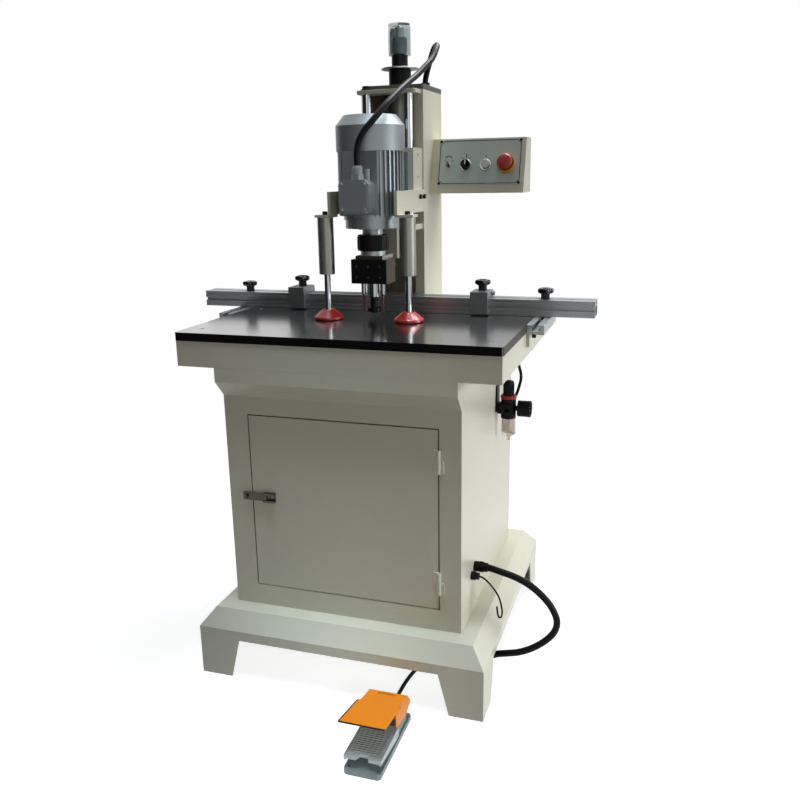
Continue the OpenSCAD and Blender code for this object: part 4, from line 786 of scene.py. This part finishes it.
# %% [markdown]
# ## Floor and light
#
# The photograph is a cut-out: white all round, with light from the upper right that leaves the fronts in
# shade. Floor and world look white to the camera, in reflections and through clear pieces, and stay at a
# plain level for all other light. Away from the machine the floor fades to pure white, so that no horizon
# shows. Dark cards behind the camera and on the left give the bright metal something to mirror, and two
# cards behind the machine, one dark and one pale, are what the table mirrors.

# %% Floor
FLOOR_HALF, FLOOR_GLOW, FADE_FROM, FADE_TO = 8, 0.85, 0.7, 2.0


def seen_rays(tree):
    """One for camera, glossy and transmitted rays, nought for the rest."""
    ray = add(tree, "ShaderNodeLightPath").outputs
    both = add(tree, "ShaderNodeMath", {0: ray["Is Camera Ray"], 1: ray["Is Glossy Ray"]},
               operation="MAXIMUM")
    return add(tree, "ShaderNodeMath", {0: both.outputs[0], 1: ray["Is Transmission Ray"]},
               operation="MAXIMUM").outputs[0]


def sheet(name, corners, coat):
    """One flat face of the studio, given by its corners in metres."""
    mesh = bpy.data.meshes.new(name)
    mesh.from_pydata(corners, [], [(0, 1, 2, 3)])
    mesh.materials.append(coat)
    ob = bpy.data.objects.new(name, mesh)
    bpy.context.scene.collection.objects.link(ob)
    return ob


floor_coat, tree = blank("pale_floor")
seen = seen_rays(tree)
reach = add(tree, "ShaderNodeVectorMath", {0: add(tree, "ShaderNodeTexCoord").outputs["Object"]},
            operation="LENGTH")
far = add(tree, "ShaderNodeMapRange", {"Value": reach.outputs["Value"], "From Min": FADE_FROM,
                                       "From Max": FADE_TO}, interpolation_type="SMOOTHSTEP")
fade = add(tree, "ShaderNodeMath", {0: far.outputs["Result"], 1: seen}, operation="MULTIPLY")
matt = add(tree, "ShaderNodeBsdfDiffuse", {"Color": linear("#A6A6A4")})
glow = add(tree, "ShaderNodeEmission", {"Strength": add(
    tree, "ShaderNodeMath", {0: seen, 1: FLOOR_GLOW}, operation="MULTIPLY").outputs[0]})
near = add(tree, "ShaderNodeAddShader", {0: matt.outputs[0], 1: glow.outputs[0]})
white = add(tree, "ShaderNodeEmission", {"Strength": 1.0})
ground = add(tree, "ShaderNodeMixShader", {0: fade.outputs[0], 1: near.outputs[0], 2: white.outputs[0]})
add(tree, "ShaderNodeOutputMaterial", {"Surface": ground.outputs[0]})
sheet("floor", [(FLOOR_HALF * x, FLOOR_HALF * y, 0) for x, y in ((-1, -1), (1, -1), (1, 1), (-1, 1))],
      floor_coat)
print("floor laid")

# %% World and cards
WORLD_LEVEL, BACK_Y = 0.16, 2.0
world = bpy.data.worlds.new("studio")
bpy.context.scene.world = world
world.use_nodes = True
tree = world.node_tree
tree.nodes.clear()
level = add(tree, "ShaderNodeMapRange", {"Value": seen_rays(tree), "To Min": WORLD_LEVEL, "To Max": 1.0})
sky = add(tree, "ShaderNodeBackground", {"Color": (1, 1, 1, 1), "Strength": level.outputs["Result"]})
add(tree, "ShaderNodeOutputWorld", {"Surface": sky.outputs[0]})

card_coat = finish("dark_card", "#3A3B3C", "#343536", 400, (0.8, 0.9), 5.0, 0.01)
for name, a, b, z in (("card", (-4.2, -2.6), (0.9, -4.4), 3.2),
                      ("left_card", (-2.5, -3.0), (-2.5, 1.0), 2.6)):
    sheet(name, [(*a, 0.05), (*b, 0.05), (*b, z), (*a, z)], card_coat).visible_camera = False
for name, x0, x1, strength in (("back_card_dark", -1.15, -0.5, 0.12), ("back_card_pale", -0.5, 0.9, 0.62)):
    coat, tree = blank(name)
    glow = add(tree, "ShaderNodeEmission", {"Strength": strength})
    add(tree, "ShaderNodeOutputMaterial", {"Surface": glow.outputs[0]})
    back = sheet(name, [(x0, BACK_Y, 0.9), (x1, BACK_Y, 0.9), (x1, BACK_Y, 1.9), (x0, BACK_Y, 1.9)], coat)
    back.visible_camera = back.visible_diffuse = back.visible_shadow = False
print("cards set")


# %% Lamps
def softbox(name, at, aim, size, watts, colour, spread=180):
    """A square area lamp at a point, facing another one, with its beam spread in degrees."""
    lamp = bpy.data.lights.new(name, "AREA")
    lamp.shape, lamp.size, lamp.energy, lamp.spread = "SQUARE", size, watts, math.radians(spread)
    lamp.color = linear(colour)[:3]
    ob = bpy.data.objects.new(name, lamp)
    ob.location = at
    ob.rotation_euler = (Vector(aim) - Vector(at)).to_track_quat("-Z", "Y").to_euler()
    bpy.context.scene.collection.objects.link(ob)
    ob.visible_camera = False


softbox("key_right", (2.7, 0.2, 0.95), (0.35, 0.05, 0.45), 1.4, 4.2, "#F4FBFF", 36)
softbox("top", (0.5, 1.2, 3.2), (0, 0.25, 0.9), 1.4, 90, "#F8FDFF")
softbox("front_fill", (0.8, -3.6, 2.2), (0, 0, 0.8), 1.6, 7.6, "#FFF8EC")
softbox("low_front", (0.1, -0.62, 2.9), (0.02, -0.32, 0.1), 0.7, 1.7, "#DDF0FF", 22)
softbox("pedal", (1.3, -2.0, 1.0), (0.15, -0.46, 0.03), 0.3, 0.14, "#F4FBFF", 9)
bpy.context.scene.view_settings.view_transform = "Standard"
print("lamps set")
